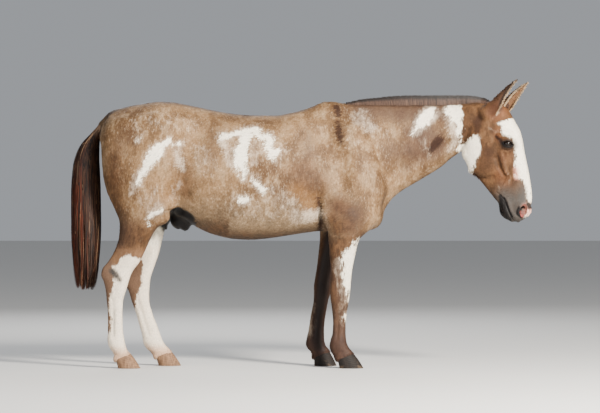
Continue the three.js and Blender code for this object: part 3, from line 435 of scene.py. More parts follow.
# %% Lines and folds of the face
LID_FOLD = on_head([(203, 22, 2.5), (194, 38, 3.5), (191, 57, 4.0), (197, 78, 3.5), (210, 93, 2.5)], 0.5)
LOWER_FOLD = on_head([(262, 30, 2.0), (272, 48, 2.8), (270, 70, 2.2)], 0.5)
BROW = on_head([(184, 26, 11), (173, 50, 14), (180, 80, 12)], 8)
INNER_CORNER = on_head([(246, 86, 2.5), (256, 94, 2.0)], 0.5)
CREST_GROOVE = on_head([(300, -22, 5), (352, -22, 5), (398, -8, 4)], -0.5)
JAW_EDGE = on_head([(358, -176, 6), (386, -146, 7), (398, -106, 7), (393, -70, 5)], 1)
CHEEK_VEIN = on_head([(402, 20, 3.5), (440, -8, 3.5), (474, -38, 3)], -0.5)
NOSTRIL_RIM = on_head([
    (590, 58, 5.0), (594, 74, 5.5), (612, 80, 6.0), (634, 72, 6.5), (650, 54, 6.5), (650, 36, 6.5),
    (636, 24, 6.0), (614, 24, 5.0), (600, 36, 4.5),
], 4)
# Air close behind the corner of the jaw, which is rounder than the solid's
BEHIND_JAW = [(302, -262, 0, 60), (302, -258, 90, 60)]
NOSTRIL_HOLE = [(596, 63, 46, 9), (611, 57, 44, 15), (630, 47, 42, 17), (642, 40, 38, 12)]
NOSTRIL_DEEP = [(616, 52, 44, 12), (596, 46, 22, 10)]
MOUTH = [(516, -46), (534, -40), (565, -34), (606, -29), (645, -20), (664, -12)]
MOUTH_LINE = on_head([(down, forward, 2.4) for down, forward in MOUTH], 0.6) + [(679, -8, 0, 2.4)]
UPPER_LIP = on_head([(535, -22, 9), (565, -18, 10), (606, -13, 11), (640, -3, 11)], 9.5) + [(668, 2, 0, 11)]
LOWER_LIP = on_head([(535, -56, 8), (565, -51, 9), (606, -46, 10), (636, -38, 10)], 9.5) + [(660, -30, 0, 10)]
CHIN_GROOVE = [(600, -66, 30, 4), (574, -72, 22, 4)]
LIP_WRINKLES = [
    on_head([(508, -42, 2.0), (498, -26, 2.4), (494, -8, 1.6)], 0.2),
    on_head([(510, -54, 2.0), (496, -62, 2.4), (486, -72, 1.6)], 0.2),
    on_head([(524, -24, 1.6), (514, -8, 2.0), (512, 10, 1.4)], 0.2),
]

# %% Ears
EARS = {
    "right": {"base": (1076, -56, 1463), "tip": (1236, -72, 1636), "opening": (0.74, 0.5, -0.67)},
    "left": {"base": (1116, 52, 1462), "tip": (1268, 70, 1623), "opening": (0.74, -0.9, -0.67)},
}
ear_spread = curve([(0, 36), (0.18, 37), (0.42, 31), (0.62, 25), (0.8, 17), (0.93, 8), (1, 2.5)])
ear_wrap = curve([(0, 2.5), (0.25, 2.1), (0.5, 1.75), (0.8, 1.4), (1, 1.2)])
ear_wall = curve([(0, 9), (0.4, 8), (1, 7)])


def ear_axes(ear):
    base = np.array(ear["base"], float)
    axis = np.array(ear["tip"], float) - base
    length = np.linalg.norm(axis)
    axis = axis / length
    opening = np.array(ear["opening"], float)
    opening = unit(opening - opening.dot(axis) * axis)
    return base, axis, length, opening, np.cross(axis, opening)


def ear_measures(ear, x, y, z):
    """Share of the ear's length, angle from its back, radius, and the leaf's own radius and wrap."""
    base, axis, length, opening, side = ear_axes(ear)
    q = [value - b for value, b in zip((x, y, z), base)]
    along = sum(a * v for a, v in zip(axis, q))
    share = np.clip(along / length, 0, 1)
    wrap = ear_wrap(share)
    outer = ear_spread(share) / np.sin(np.minimum(wrap, math.pi / 2))
    middle = outer * 0.35 - 4 * np.sin(math.pi * share)
    ahead = sum(a * v for a, v in zip(opening, q)) - middle
    across = sum(a * v for a, v in zip(side, q))
    return along, length, share, np.arctan2(across, -ahead), np.hypot(across, ahead), outer, wrap


def ear_leaf(ear, x, y, z):
    """Distance to one ear: a leaf bent to a tube at its root and open towards its tip."""
    along, length, share, angle, radius, outer, wrap = ear_measures(ear, x, y, z)
    half_wall = ear_wall(share) / 2
    leaf_radius = np.maximum(outer - half_wall, 1)
    past = np.maximum(np.abs(angle) - wrap, 0)
    edge = np.sqrt(np.maximum(radius**2 + leaf_radius**2 - 2 * radius * leaf_radius * np.cos(past), 0))
    leaf = np.where(past > 0, edge, np.abs(radius - leaf_radius)) - half_wall
    return carve(leaf, -np.maximum(-30 - along, along - length), 8)


# %% Folds and muscles of the body
def on_body(points):
    """Rods along the body's side, from places as x, z, radius and how far the rod's edge is sunk."""
    return [(x, reach_out(x, z, 20.0, 320.0) + radius - sunk, z, radius) for x, z, radius, sunk in points]


GROOVES = [
    (on_body([(92, 985, 9, 4), (100, 930, 11, 14), (108, 870, 12, 26), (118, 815, 12, 30)]), 16),
    (on_body([(560, 1120, 26, 6), (700, 1195, 26, 8), (840, 1270, 22, 6)]), 50),
    (on_body([(150, 1330, 40, 4), (215, 1190, 40, 7), (225, 1060, 34, 6)]), 70),
    (on_body([(-575, 1345, 60, 8), (-640, 1265, 60, 11)]), 90),
    (on_body([
        (-786, 850, 20, 8), (-742, 878, 24, 15), (-692, 880, 26, 17), (-642, 858, 22, 12), (-602, 826, 16, 5),
    ]), 18),
    ([(-684, 0, 774, 11), (-688, 34, 802, 8)], 10), ([(-628, 0, 778, 16), (-622, 30, 790, 14)], 16),
]
RIDGES = [
    (on_body([
        (-600, 905, 20, 24), (-650, 928, 22, 26), (-705, 940, 24, 28), (-756, 925, 22, 26),
        (-800, 880, 18, 20),
    ]), 40),
    (on_body([(300, 1360, 22, 44), (350, 1250, 24, 44), (405, 1100, 24, 44)]), 50),
    (on_body([(270, 850, 26, 36), (240, 770, 20, 28)]), 45),
    (on_body([(330, 1080, 34, 74), (200, 1010, 40, 80)]), 80),
    (on_body([(-880, 1180, 60, 105), (-905, 1020, 50, 95)]), 90),
]
GROIN = [((-774, 22, 826), (18, 16, 50), 18), ((-664, 0, 806), (28, 24, 32), 16)]
DOCK = [
    (-1050, 0, 1428, 30), (-1092, 0, 1408, 30), (-1128, 0, 1380, 28), (-1158, 0, 1340, 26),
    (-1180, 0, 1280, 22), (-1196, 0, 1200, 17), (-1206, 0, 1110, 10),
]
HOOVES = {
    "fore_right": {"toe": 352, "heel": 212, "top_toe": 294, "top_heel": 190, "out": -118},
    "fore_left": {"toe": 203, "heel": 70, "top_toe": 158, "top_heel": 58, "out": 118},
    "hind_right": {"toe": -912, "heel": -1042, "top_toe": -970, "top_heel": -1066, "out": -128},
    "hind_left": {"toe": -690, "heel": -822, "top_toe": -750, "top_heel": -850, "out": 128},
}
TOE_HEIGHT, HEEL_HEIGHT = 84, 42
HOOF_REACH = 110


def by_hoof(hoof, x, y):
    """Whether a point stands over this hoof and not over another."""
    return np.hypot(x - (hoof["top_toe"] + hoof["top_heel"]) / 2, y - hoof["out"]) < HOOF_REACH


def above_coronet(hoof, x, z):
    """How far a point is above the sloping top of a hoof."""
    run = hoof["top_toe"] - hoof["top_heel"]
    rise = TOE_HEIGHT - HEEL_HEIGHT
    return ((z - TOE_HEIGHT) * run - (x - hoof["top_toe"]) * rise) / math.hypot(run, rise)


def cannon(x, y, z):
    """The tendon that stands clear behind each cannon bone, with the hollow between them."""
    found = np.inf
    for name, (side, front, back, out, width, _) in leg_curves.items():
        middle, half_length = (285, 105) if "hind" in name else (250, 80)
        hollow = back(z) + 0.36 * (front(z) - back(z))
        gap = np.hypot(x - hollow, np.abs(y - side * out(z)) - width(z) - 5) - 9
        fade = np.abs(z - middle) - half_length
        found = np.minimum(found, np.maximum(gap, fade * 0.5))
    return found


# %% The whole skin
BODY_COAT, FINE_COAT = 3.0, 1.4
FAR = 1000


def coat_depth(x, z):
    fine = np.maximum(ease((x - 860) / 160), ease((700 - z) / 160))
    return lerp(BODY_COAT, FINE_COAT, fine)


def skin(x, y, z):
    """Distance to the skin, which lies inside the solids by the coat's depth."""
    d = hind_flesh(x, y, z)
    p = (x, np.abs(y), z)
    plain = d
    for points, blend in RIDGES:
        d = join(d, rods(p, points, 10), blend)
    d = carve(d, 7 - plain, 8)
    for points, blend in GROOVES:
        d = carve(d, rods(p, points, 10), blend)
    for centre, radii, blend in GROIN:
        d = join(d, ellipsoid(p, centre, radii), blend)
    d = carve(d, cannon(x, y, z), 10)
    if np.min(x) < -900:
        d = join(d, rods((x, y, z), DOCK, 4), 30)
    if np.max(x) > 700:
        d = join(d, head(x, y, z), THROAT_BLEND)
    if np.max(x) > 900:
        d = face(d, x, y, z)
    d = d + coat_depth(x, z)
    if np.min(z) < 120:
        for hoof in HOOVES.values():
            for side in (-13, 13):
                bulb = ellipsoid((x, y, z), (hoof["top_heel"] + 25, hoof["out"] + side, 54), (23, 18, 20))
                d = join(d, bulb, 20)
        for hoof in HOOVES.values():
            d = np.maximum(d, np.where(by_hoof(hoof, x, y), -above_coronet(hoof, x, z) - 5, -FAR))
    return d


def face(d, x, y, z):
    """Adds the small forms of the head to a distance."""
    down, forward = to_head(x, z)
    p = (down, forward, np.abs(y))
    d = carve(d, rods(p, BEHIND_JAW), 24)
    for points, blend in ((BROW, 22), (UPPER_LIP, 12), (LOWER_LIP, 12), (CHEEK_VEIN, 8)):
        d = join(d, rods(p, points, 4), blend)
    creases = [(LID_FOLD, 7), (LOWER_FOLD, 6), (CREST_GROOVE, 16), (JAW_EDGE, 18), (CHIN_GROOVE, 10)]
    for points, blend in creases + [(wrinkle, 5) for wrinkle in LIP_WRINKLES]:
        d = carve(d, rods(p, points), blend)
    q = [value - c for value, c in zip(p, EYE_PLACE)]
    reach = np.sqrt(sum(value * value for value in q))
    eye_axes = (EYE_OUT, EYE_LONG, EYE_TALL)
    out, long, tall = (sum(a * value for a, value in zip(axis, q)) for axis in eye_axes)
    d = join(d, reach - LID_RADIUS, 12)
    slit = lens(long, tall, SLIT_HALF_LENGTH, SLIT_UPPER, SLIT_LOWER)
    slit = np.maximum(np.maximum(slit, EYE_RADIUS - 2 - reach), 4 - out)
    d = carve(d, slit, 3)
    d = carve(d, rods(p, INNER_CORNER), 4)
    d = join(d, rods(p, NOSTRIL_RIM, 3), 9)
    d = carve(d, rods(p, NOSTRIL_HOLE, 6), 6)
    d = carve(d, rods(p, NOSTRIL_DEEP), 8)
    d = carve(d, rods(p, MOUTH_LINE), 4)
    roots = np.inf
    for ear in EARS.values():
        base = np.array(ear["base"], float)
        up = lerp(base, np.array(ear["tip"], float), 0.16)
        root = rod((x, y, z), base - (14, 0, 22), up, 38, 26)
        lobe = rod((x, y, z), base + (-20, 0, -14), base + (0, 0, 28), 34, 20)
        roots = np.minimum(roots, join(root, lobe, 14))
    d = join(d, roots, 24)
    for ear in EARS.values():
        base, axis, _, opening, _ = ear_axes(ear)
        cup = rod((x, y, z), base + axis * 34 + opening * 16, base + axis * 90 + opening * 16, 12, 20)
        d = carve(d, cup, 8)
        d = join(d, ear_leaf(ear, x, y, z), 7)
    return d

# %% [markdown]
# ## From a distance to a mesh
#
# The distance is sampled on a grid, and each cell that the skin passes through gets one vertex.
# The head needs cells a quarter the size of the body's, or its lids and ears would be lost, and
# the whole mule at that size would be far too heavy. So two grids meet at the throat. Where they
# meet, the small cells of one layer borrow the vertex of the large cell around them, which closes
# the seam. Then every vertex is moved along the slope of the distance until it lies on the skin.

# %% Two grids
COARSE, RATIO = 16.8, 4
FINE = COARSE / RATIO
JOINT_LAYER = 126
COARSE_START = np.array([-1244.0, -327.6, -16.8])
COARSE_COUNT = (JOINT_LAYER + 1, 40, 94)
FINE_LOW = (JOINT_LAYER, 12, 46)
FINE_CELLS = (27, 15, 53)
SLAB = 24


def sample(starts, step, counts):
    """The distance at every corner of a grid, a slab at a time."""
    x, y, z = (start + step * np.arange(count) for start, count in zip(starts, counts))
    slabs = [x[at:at + SLAB] for at in range(0, len(x), SLAB)]
    return np.concatenate([skin(slab[:, None, None], y[None, :, None], z[None, None, :]) for slab in slabs])


def edge_ends(values, axis):
    """The values at the two ends of each grid edge along one axis."""
    count = values.shape[axis]
    return np.take(values, range(count - 1), axis), np.take(values, range(1, count), axis)


def cell_vertices(values, starts, step):
    """For each cell whether the skin crosses it, and the mean of the crossings on its edges."""
    total = np.zeros(tuple(n - 1 for n in values.shape) + (3,))
    count = np.zeros(tuple(n - 1 for n in values.shape))
    for axis in range(3):
        first, second = edge_ends(values, axis)
        crossed = (first < 0) != (second < 0)
        gap = np.where(crossed, first - second, 1)
        share = np.where(crossed, first / gap, 0)
        for moves in ([0, 0], [0, 1], [1, 0], [1, 1]):
            moves.insert(axis, 0)
            window = tuple(
                slice(None) if a == axis else slice(m, values.shape[a] - 1 + m) for a, m in enumerate(moves)
            )
            hit = crossed[window]
            count += hit
            for a in range(3):
                total[..., a] += hit * (share[window] if a == axis else moves[a])
    cells = np.argwhere(count > 0)
    inner = total[count > 0] / count[count > 0][:, None]
    return cells, np.array(starts) + step * (cells + inner)


def edge_quads(values, cell_index, axis, span):
    """Quads round every grid edge along one axis that the skin crosses, between two layers."""
    others = [a for a in range(3) if a != axis]
    first, second = (end < 0 for end in edge_ends(values, axis))
    at = np.argwhere(first != second)
    keep = (at[:, 0] >= span[0]) & (at[:, 0] <= span[1])
    for a in others:
        keep &= (at[:, a] > 0) & (at[:, a] < values.shape[a] - 1)
    at = at[keep]
    corners = []
    for back in ((1, 1), (0, 1), (0, 0), (1, 0)):
        cell = at.copy()
        cell[:, others] -= back
        corners.append(cell_index[tuple(cell.T)])
    quads = np.stack(corners, 1)
    turn_round = first[tuple(at.T)] == (axis == 1)
    quads[turn_round] = quads[turn_round][:, ::-1]
    return quads


def halves(quads):
    """Two triangles for each quad."""
    return np.concatenate([quads[:, [0, 1, 2]], quads[:, [0, 2, 3]]])


def build_grid_mesh():
    coarse = sample(COARSE_START, COARSE, COARSE_COUNT)
    fine_start = COARSE_START + COARSE * (np.array(FINE_LOW) - (1, 0, 0))
    fine_count = tuple(RATIO * (n + extra) + 1 for n, extra in zip(FINE_CELLS, (1, 0, 0)))
    fine = sample(fine_start, FINE, fine_count)
    cells_c, points_c = cell_vertices(coarse, COARSE_START, COARSE)
    cells_f, points_f = cell_vertices(fine, fine_start, FINE)
    index_c = np.full(tuple(n - 1 for n in coarse.shape), -1)
    index_c[tuple(cells_c.T)] = np.arange(len(cells_c))
    points = [points_c]
    used = len(points_c)
    index_f = np.full(tuple(n - 1 for n in fine.shape), -1)
    shared = cells_f[:, 0] < RATIO
    own = cells_f[~shared]
    index_f[tuple(own.T)] = used + np.arange(len(own))
    points.append(points_f[~shared])
    used += len(own)
    parents = cells_f[shared] // RATIO + (JOINT_LAYER - 1, FINE_LOW[1], FINE_LOW[2])
    missing = index_c[tuple(parents.T)] < 0
    if missing.any():
        lonely, first = np.unique(parents[missing], axis=0, return_index=True)
        index_c[tuple(lonely.T)] = used + np.arange(len(lonely))
        points.append(points_f[shared][missing][first])
    index_f[tuple(cells_f[shared].T)] = index_c[tuple(parents.T)]
    quads = []
    for axis in range(3):
        quads.append(edge_quads(coarse, index_c, axis, (0, JOINT_LAYER - 1)))
        quads.append(edge_quads(fine, index_f, axis, (RATIO, len(fine))))
    triangles = halves(np.concatenate(quads))
    a, b, c = triangles.T
    return np.concatenate(points), triangles[(a != b) & (b != c) & (a != c)]


# %% Where four triangles share one edge
def edge_keys(points, triangles):
    """A number for each triangle's three edges, the same for all the triangles at an edge."""
    edges = np.sort(np.stack([triangles[:, [0, 1]], triangles[:, [1, 2]], triangles[:, [2, 0]]], 1), 2)
    return edges[..., 0] * len(points) + edges[..., 1]


APART = 0.12


def untangle(points, triangles):
    """Gives each side of a shared edge a middle point of its own, so that two folds only touch."""
    keys = edge_keys(points, triangles)
    unique, where, times = np.unique(keys, return_inverse=True, return_counts=True)
    crowded = times[where].reshape(keys.shape) > 2
    loose = [tuple(t) for t in triangles[crowded.any(1)]]
    added = []
    for key in unique[times > 2]:
        a, b = divmod(int(key), len(points))
        axis = unit(points[b] - points[a])
        middle = (points[a] + points[b]) / 2
        first = unit(np.cross(axis, (0.3, 0.5, 0.8)))
        second = np.cross(axis, first)
        around = []
        for t in [t for t in loose if a in t and b in t]:
            third = next(v for v in t if v not in (a, b))
            place = points[third] if third < len(points) else added[third - len(points)]
            forward = t[(t.index(a) + 1) % 3] == b
            angle = math.atan2((place - middle) @ second, (place - middle) @ first)
            around.append((angle, forward, t, place))
        around.sort(key=lambda item: item[0])
        while around[0][1]:
            around.append(around.pop(0))
        for one, two in zip(around[::2], around[1::2]):
            added.append(middle + APART * ((one[3] + two[3]) / 2 - middle))
            new = len(points) + len(added) - 1
            for _, forward, t, _ in (one, two):
                start = t.index(a if forward else b)
                u, v, w = t[start], t[(start + 1) % 3], t[(start + 2) % 3]
                loose.remove(t)
                loose += [(u, new, w), (new, v, w)]
    print("edges untangled:", int((times > 2).sum()))
    if not added:
        return points, triangles
    return np.concatenate([points, added]), np.concatenate([triangles[~crowded.any(1)], loose])


# %% Splitting triangles where more detail is needed
def refine(points, triangles, chosen):
    """Splits the edges of the chosen triangles in two, and their neighbours to match."""
    keys = edge_keys(points, triangles)
    cut_keys = np.unique(keys[chosen])
    middles = (points[cut_keys // len(points)] + points[cut_keys % len(points)]) / 2
    spot = np.minimum(np.searchsorted(cut_keys, keys), len(cut_keys) - 1)
    cut = cut_keys[spot] == keys
    new = np.where(cut, spot + len(points), -1)
    count = cut.sum(1)
    result = [triangles[count == 0]]
    for turn_by in range(3):
        order = [turn_by, (turn_by + 1) % 3, (turn_by + 2) % 3]
        t, n, c = triangles[:, order], new[:, order], cut[:, order]
        one = c[:, 0] & ~c[:, 1] & ~c[:, 2]
        a, b, d = t[one].T
        m = n[one][:, 0]
        result += [np.stack([a, m, d], 1), np.stack([m, b, d], 1)]
        two = c[:, 0] & c[:, 1] & ~c[:, 2]
        a, b, d = t[two].T
        m, k = n[two][:, 0], n[two][:, 1]
        result += [np.stack([m, b, k], 1), np.stack([a, m, k], 1), np.stack([a, k, d], 1)]
    three = count == 3
    a, b, d = triangles[three].T
    m, k, j = new[three].T
    result += [np.stack(part, 1) for part in ((a, m, j), (m, b, k), (j, k, d), (m, k, j))]
    return np.concatenate([points, middles]), np.concatenate(result)


SLOPE_STEP = 0.4


def skin_at(points):
    """The distance at scattered points, a share of them at a time."""
    result = np.empty(len(points))
    order = np.argsort(points[:, 0], kind="stable")
    for part in np.array_split(order, max(1, len(points) // 20000)):
        x, y, z = points[part].T
        result[part] = skin(x, y, z)
    return result


def slope_at(points):
    rises = [skin_at(points + step) - skin_at(points - step) for step in SLOPE_STEP * np.eye(3)]
    return np.stack(rises, 1) / (2 * SLOPE_STEP)


def settle(points, rounds, most):
    """Moves points along the slope of the distance until they lie on the skin."""
    for _ in range(rounds):
        slope = slope_at(points)
        size = np.maximum((slope**2).sum(1), 0.2)
        move = slope * (skin_at(points) / size)[:, None]
        length = np.linalg.norm(move, axis=1)
        points = points - move * np.minimum(1, most / np.maximum(length, 1e-9))[:, None]
    return points


def near_places(points, places):
    """Whether each point is within reach of one of the places, as x, y, z and reach."""
    found = np.zeros(len(points), bool)
    for x, y, z, reach in places:
        found |= ((points - (x, y, z)) ** 2).sum(1) < reach**2
    return found


def both_sides(down, forward, out, reach):
    x, z = from_head(down, forward)
    return [(x, -out, z, reach), (x, out, z, reach)]


LEGS_BELOW = 640
skin_points, skin_triangles = build_grid_mesh()
skin_points, skin_triangles = untangle(skin_points, skin_triangles)
print("grid mesh:", len(skin_points), "points", len(skin_triangles), "triangles")
skin_points = settle(skin_points, 2, FINE)
middles = skin_points[skin_triangles].mean(1)
skin_points, skin_triangles = refine(skin_points, skin_triangles, middles[:, 2] < LEGS_BELOW)
skin_points = settle(skin_points, 1, FINE)
fine_places = both_sides(236, 58, 98, 44) + both_sides(620, 50, 50, 42)
middles = skin_points[skin_triangles].mean(1)
skin_points, skin_triangles = refine(skin_points, skin_triangles, near_places(middles, fine_places))
skin_points = settle(skin_points, 2, 1.5)
print("skin:", len(skin_points), "points", len(skin_triangles), "triangles")


# %% Meshes from arrays
def place_turned(points):
    """Points of the straight mule in metres, where the turned neck takes them."""
    return np.stack(turned(*points.T), 1) * MM


def add_object(name, data):
    obj = bpy.data.objects.new(name, data)
    bpy.context.scene.collection.objects.link(obj)
    return obj


def mesh_object(name, points, faces, material):
    """An object from an array of points in metres and an array of faces, all with as many corners."""
    mesh = bpy.data.meshes.new(name)
    faces = np.asarray(faces)
    corners = faces.shape[1]
    mesh.vertices.add(len(points))
    mesh.vertices.foreach_set("co", np.asarray(points, np.float32).ravel())
    mesh.loops.add(faces.size)
    mesh.loops.foreach_set("vertex_index", faces.ravel().astype(np.int32))
    mesh.polygons.add(len(faces))
    mesh.polygons.foreach_set("loop_start", np.arange(0, faces.size, corners, dtype=np.int32))
    mesh.update(calc_edges=True)
    mesh.validate()
    mesh.polygons.foreach_set("use_smooth", np.full(len(mesh.polygons), True))
    mesh.materials.append(material)
    return add_object(name, mesh)

# %% [markdown]
# ## The markings
#
# The mule is a roan pinto: tan hair with white patches whose edges are ragged, because single
# white hairs stray into the brown. A painted picture would hold only one side. So each patch is
# a chain of round spots with a place, a height and a radius, and what is kept for every point of
# the skin is its distance from the patch. The shader draws the edge from that distance and a
# noise, and the tufts read the same distance at their roots, so skin and coat agree.

# %% Distance from flat marks
def to_line(a, b, a0, b0, a1, b1):
    """How far along a line its nearest place is, and how far away."""
    da, db = a1 - a0, b1 - b0
    t = np.clip(((a - a0) * da + (b - b0) * db) / max(da * da + db * db, 1e-9), 0, 1)
    return t, np.hypot(a - a0 - t * da, b - b0 - t * db)


def spots(a, b, chain):
    """Distance to a chain of round spots, each given as two measures and a radius."""
    found = np.inf
    for (a0, b0, r0), (a1, b1, r1) in zip(chain[:-1] or chain, chain[1:] or chain):
        t, gap = to_line(a, b, a0, b0, a1, b1)
        found = np.minimum(found, gap - lerp(r0, r1, t))
    return found


def region(a, b, corners):
    """Distance to a closed region given by its corners, below zero inside."""
    corners = np.array(corners, float)
    found = np.full(np.shape(a), 1e9)
    inside = np.zeros(np.shape(a), bool)
    for (a0, b0), (a1, b1) in zip(corners, np.roll(corners, -1, 0)):
        found = np.minimum(found, to_line(a, b, a0, b0, a1, b1)[1])
        inside ^= ((b0 > b) != (b1 > b)) & (a < (a1 - a0) * (b - b0) / (b1 - b0 + 1e-12) + a0)
    return np.where(inside, -found, found)


def nearest(a, b, chains):
    """Distance to the nearest of several chains."""
    return np.min([spots(a, b, chain) for chain in chains], axis=0)


# %% Patches on the mule's right side, which the camera sees
RIGHT_WHITE = [
    [(-737, 1293, 7), (-764, 1276, 15), (-790, 1252, 26), (-814, 1222, 35), (-842, 1188, 26),
     (-858, 1152, 23), (-884, 1118, 13), (-903, 1094, 15), (-917, 1064, 14), (-936, 1036, 8),
     (-948, 1012, 4)],
    [(-775, 904, 2), (-812, 888, 6), (-844, 874, 10), (-854, 848, 5), (-844, 815, 3)],
    [(-913, 1296, 6), (-911, 1312, 6)],
    [(-704, 1278, 8), (-684, 1277, 11), (-664, 1275, 7)],
    [(-448, 1312, 5), (-414, 1317, 9), (-384, 1322, 8), (-350, 1332, 12), (-305, 1344, 16), (-240, 1349, 13)],
    [(-300, 1327, 26), (-318, 1270, 31), (-340, 1222, 40), (-338, 1175, 35), (-320, 1124, 18),
     (-313, 1084, 7)],
    [(-246, 1344, 15), (-222, 1308, 11), (-184, 1315, 17), (-158, 1300, 11), (-188, 1268, 14),
     (-152, 1226, 13), (-118, 1236, 7)],
    [(-160, 1208, 14), (-148, 1190, 8)],
    [(-264, 1070, 13), (-233, 1040, 17), (-211, 1012, 14)],
    [(-336, 962, 16), (-312, 960, 20)],
    [(743, 1458, 26), (710, 1421, 33), (682, 1384, 25)],
    [(690, 1398, 22), (653, 1344, 10)],
    [(916, 1373, 16), (914, 1316, 10), (930, 1275, 6)],
]
# Faint marks start with how strong they are. The first four here are used on both sides
THROAT_SHADE = (0.2, [(880, 1250, 26), (905, 1200, 24)])
BUTTOCK_BROWN = (0.75, [(-1050, 1210, 60), (-1060, 1040, 70), (-1040, 900, 70)])
FLANK_BROWN = [(-560, 900, 80), (-420, 850, 80)]
POLL_BROWN = [(970, 1390, 44), (985, 1310, 40)]
RIGHT_SOFT = [
    (0.95, [(-704, 1270, 8), (-697, 1236, 14), (-684, 1191, 24), (-664, 1140, 20)]),
    (0.6, [(-808, 1383, 16)]),
    (0.9, [(-430, 1300, 30), (-422, 1236, 22), (-398, 1180, 20), (-370, 1135, 16)]),
    (0.36, [(-930, 1380, 60), (-800, 1420, 70), (-640, 1380, 60)]),
    (0.36, [(-870, 960, 60), (-800, 1000, 50)]), (0.7, [(132, 905, 7), (141, 850, 9), (147, 795, 8)]),
    (0.35, [(222, 480, 26), (220, 330, 26), (230, 260, 26)]),
    (0.9, [(756, 1440, 40), (700, 1400, 44), (664, 1340, 20)]), (0.9, [(880, 1440, 50), (896, 1340, 40)]),
    (0.7, [(-247, 952, 14)]), (0.6, [(-275, 1120, 14), (-225, 1060, 14)]),
    (0.42, [(-150, 985, 70), (-60, 930, 70)]), (0.55, [(-20, 870, 60)]),
    (0.95, [(40, 868, 42), (88, 876, 34)]), (0.55, [(344, 1420, 60), (401, 1369, 50)]),
    (0.45, [(494, 1339, 26)]),
    (0.85, [(884, 1290, 26), (856, 1240, 16)]), (0.3, [(300, 1300, 60)]), (0.7, [(655, 1350, 22)]),
    (0.5, [(704, 1300, 26), (738, 1215, 20)]), (0.5, [(-300, 1240, 110)]), (0.4, [(-120, 1230, 70)]),
    (0.4, [(-560, 1230, 60), (-520, 1130, 60)]), (0.75, [(-836, 880, 40), (-800, 930, 24)]),
    (0.35, [(-330, 940, 90), (-150, 900, 70)]), (0.5, [(-690, 1060, 26), (-720, 980, 30)]),
]
# Dark marks. The first is painted shade in the gap between the elbow and the girth
RIGHT_DARK_AND_SHADE = [
    (1.0, [(98, 968, 7), (104, 900, 10), (113, 820, 11), (118, 770, 10)]),
    (1.0, [(206, 1504, 12), (212, 1470, 14), (214, 1440, 14)]),
    (0.6, [(215, 1400, 18), (222, 1330, 26), (228, 1290, 20)]),
    (1.0, [(800, 1305, 19), (777, 1276, 20), (753, 1248, 16)]), THROAT_SHADE,
    (0.2, [(222, 1390, 14), (226, 1300, 12)]),
]
RIGHT_BROWN = [
    (0.68, [(93, 1039, 90), (10, 1100, 90)]), (0.85, [(217, 916, 70), (302, 870, 80), (245, 821, 70)]),
    (1.0, [(190, 860, 50), (210, 790, 60), (280, 800, 50)]), (0.55, [(640, 1300, 80), (740, 1250, 70)]),
    BUTTOCK_BROWN, (0.7, [(-640, 1130, 60), (-655, 1010, 80)]), (0.45, [(565, 1237, 60), (610, 1180, 60)]),
    (0.7, POLL_BROWN), (0.35, FLANK_BROWN), (0.3, [(-890, 1240, 60)]),
    (0.4, [(-500, 1400, 40), (-100, 1380, 50)]),
    (0.4, [(740, 1190, 50), (850, 1240, 40)]), (0.5, [(-820, 930, 70), (-880, 800, 80)]),
]
# Greyish plum areas, the same on both sides: the top of the neck, the shoulder, elbow and loin
PLUM = [
    (0.85, [(330, 1480, 50), (600, 1455, 70), (880, 1460, 60)]),
    (0.6, [(520, 1270, 26), (566, 1205, 30), (610, 1155, 22)]),
    (0.7, [(215, 925, 50), (300, 880, 60), (300, 800, 50)]), (0.45, [(-480, 1320, 60), (-520, 1200, 50)]),
    (0.5, [(30, 1330, 50), (60, 1220, 50)]), (0.85, [(690, 1360, 90), (760, 1280, 80), (640, 1240, 60)]),
    (0.4, [(-1000, 1300, 70)]), (0.8, [(215, 560, 60), (215, 180, 70)]),
    (0.6, [(140, 560, 60), (90, 180, 70)]), (0.7, [(-1000, 790, 70), (-1040, 680, 50)]),
]
# Black bare skin of the sheath and groin, and painted shade in the cavity under the flank fold, as a region
# of the side view
GROIN_SKIN_AND_SHADE = [
    (-812, 800), (-812, 868), (-786, 900), (-742, 918), (-692, 917), (-650, 904), (-608, 866), (-588, 822),
    (-600, 700), (-760, 700),
]
# Patches on the other side, which no photograph shows
LEFT_WHITE = [
    [(-640, 1452, 30), (-690, 1400, 46), (-745, 1330, 52), (-720, 1260, 34), (-760, 1190, 20),
     (-800, 1150, 12)],
    [(-930, 1240, 16), (-905, 1200, 22), (-930, 1150, 10)],
    [(-120, 1300, 30), (-170, 1250, 44), (-150, 1190, 50), (-205, 1130, 30), (-200, 1080, 14)],
    [(-90, 1330, 16), (-20, 1320, 20), (30, 1280, 14)],
    [(-420, 1010, 26), (-370, 960, 34), (-300, 940, 22)],
    [(330, 1400, 22), (380, 1350, 34), (400, 1280, 26), (380, 1230, 10)],
    [(800, 1460, 30), (760, 1410, 36), (770, 1350, 22), (800, 1310, 10)],
    [(600, 1240, 14), (640, 1210, 20), (690, 1215, 10)],
]
LEFT_SOFT_AND_LIGHT = [
    (0.6, [(-430, 1300, 34), (-400, 1220, 26)]), (0.5, [(20, 900, 60), (-100, 880, 60)]),
    (0.5, [(520, 1400, 30)]), (0.6, [(-600, 1050, 26)]), (0.6, [(880, 1300, 30)]), (0.5, [(-160, 1210, 100)]),
    (0.5, [(-700, 1320, 90)]), (0.4, [(-300, 930, 90), (-100, 900, 70)]),
    (0.36, [(-930, 1380, 60), (-800, 1420, 70)]),
    # Painted light: a lighter lit edge down the back of the far foreleg
    (0.6, [(56, 400, 20), (48, 280, 27), (44, 200, 25)]),
]
# The first is painted shade in the gap between the elbow and the girth
LEFT_DARK_AND_SHADE = [
    (1.0, [(98, 968, 6), (104, 900, 11), (110, 830, 12)]),
    (0.6, [(560, 1330, 14), (580, 1300, 12)]), THROAT_SHADE,
]
LEFT_BROWN = [
    (0.55, [(60, 1100, 90)]), (0.6, [(160, 880, 70), (230, 850, 60)]),
    (0.5, [(480, 1200, 60), (560, 1180, 50)]), BUTTOCK_BROWN, (0.5, [(-640, 1110, 80)]), (0.4, FLANK_BROWN),
    (0.6, POLL_BROWN),
]

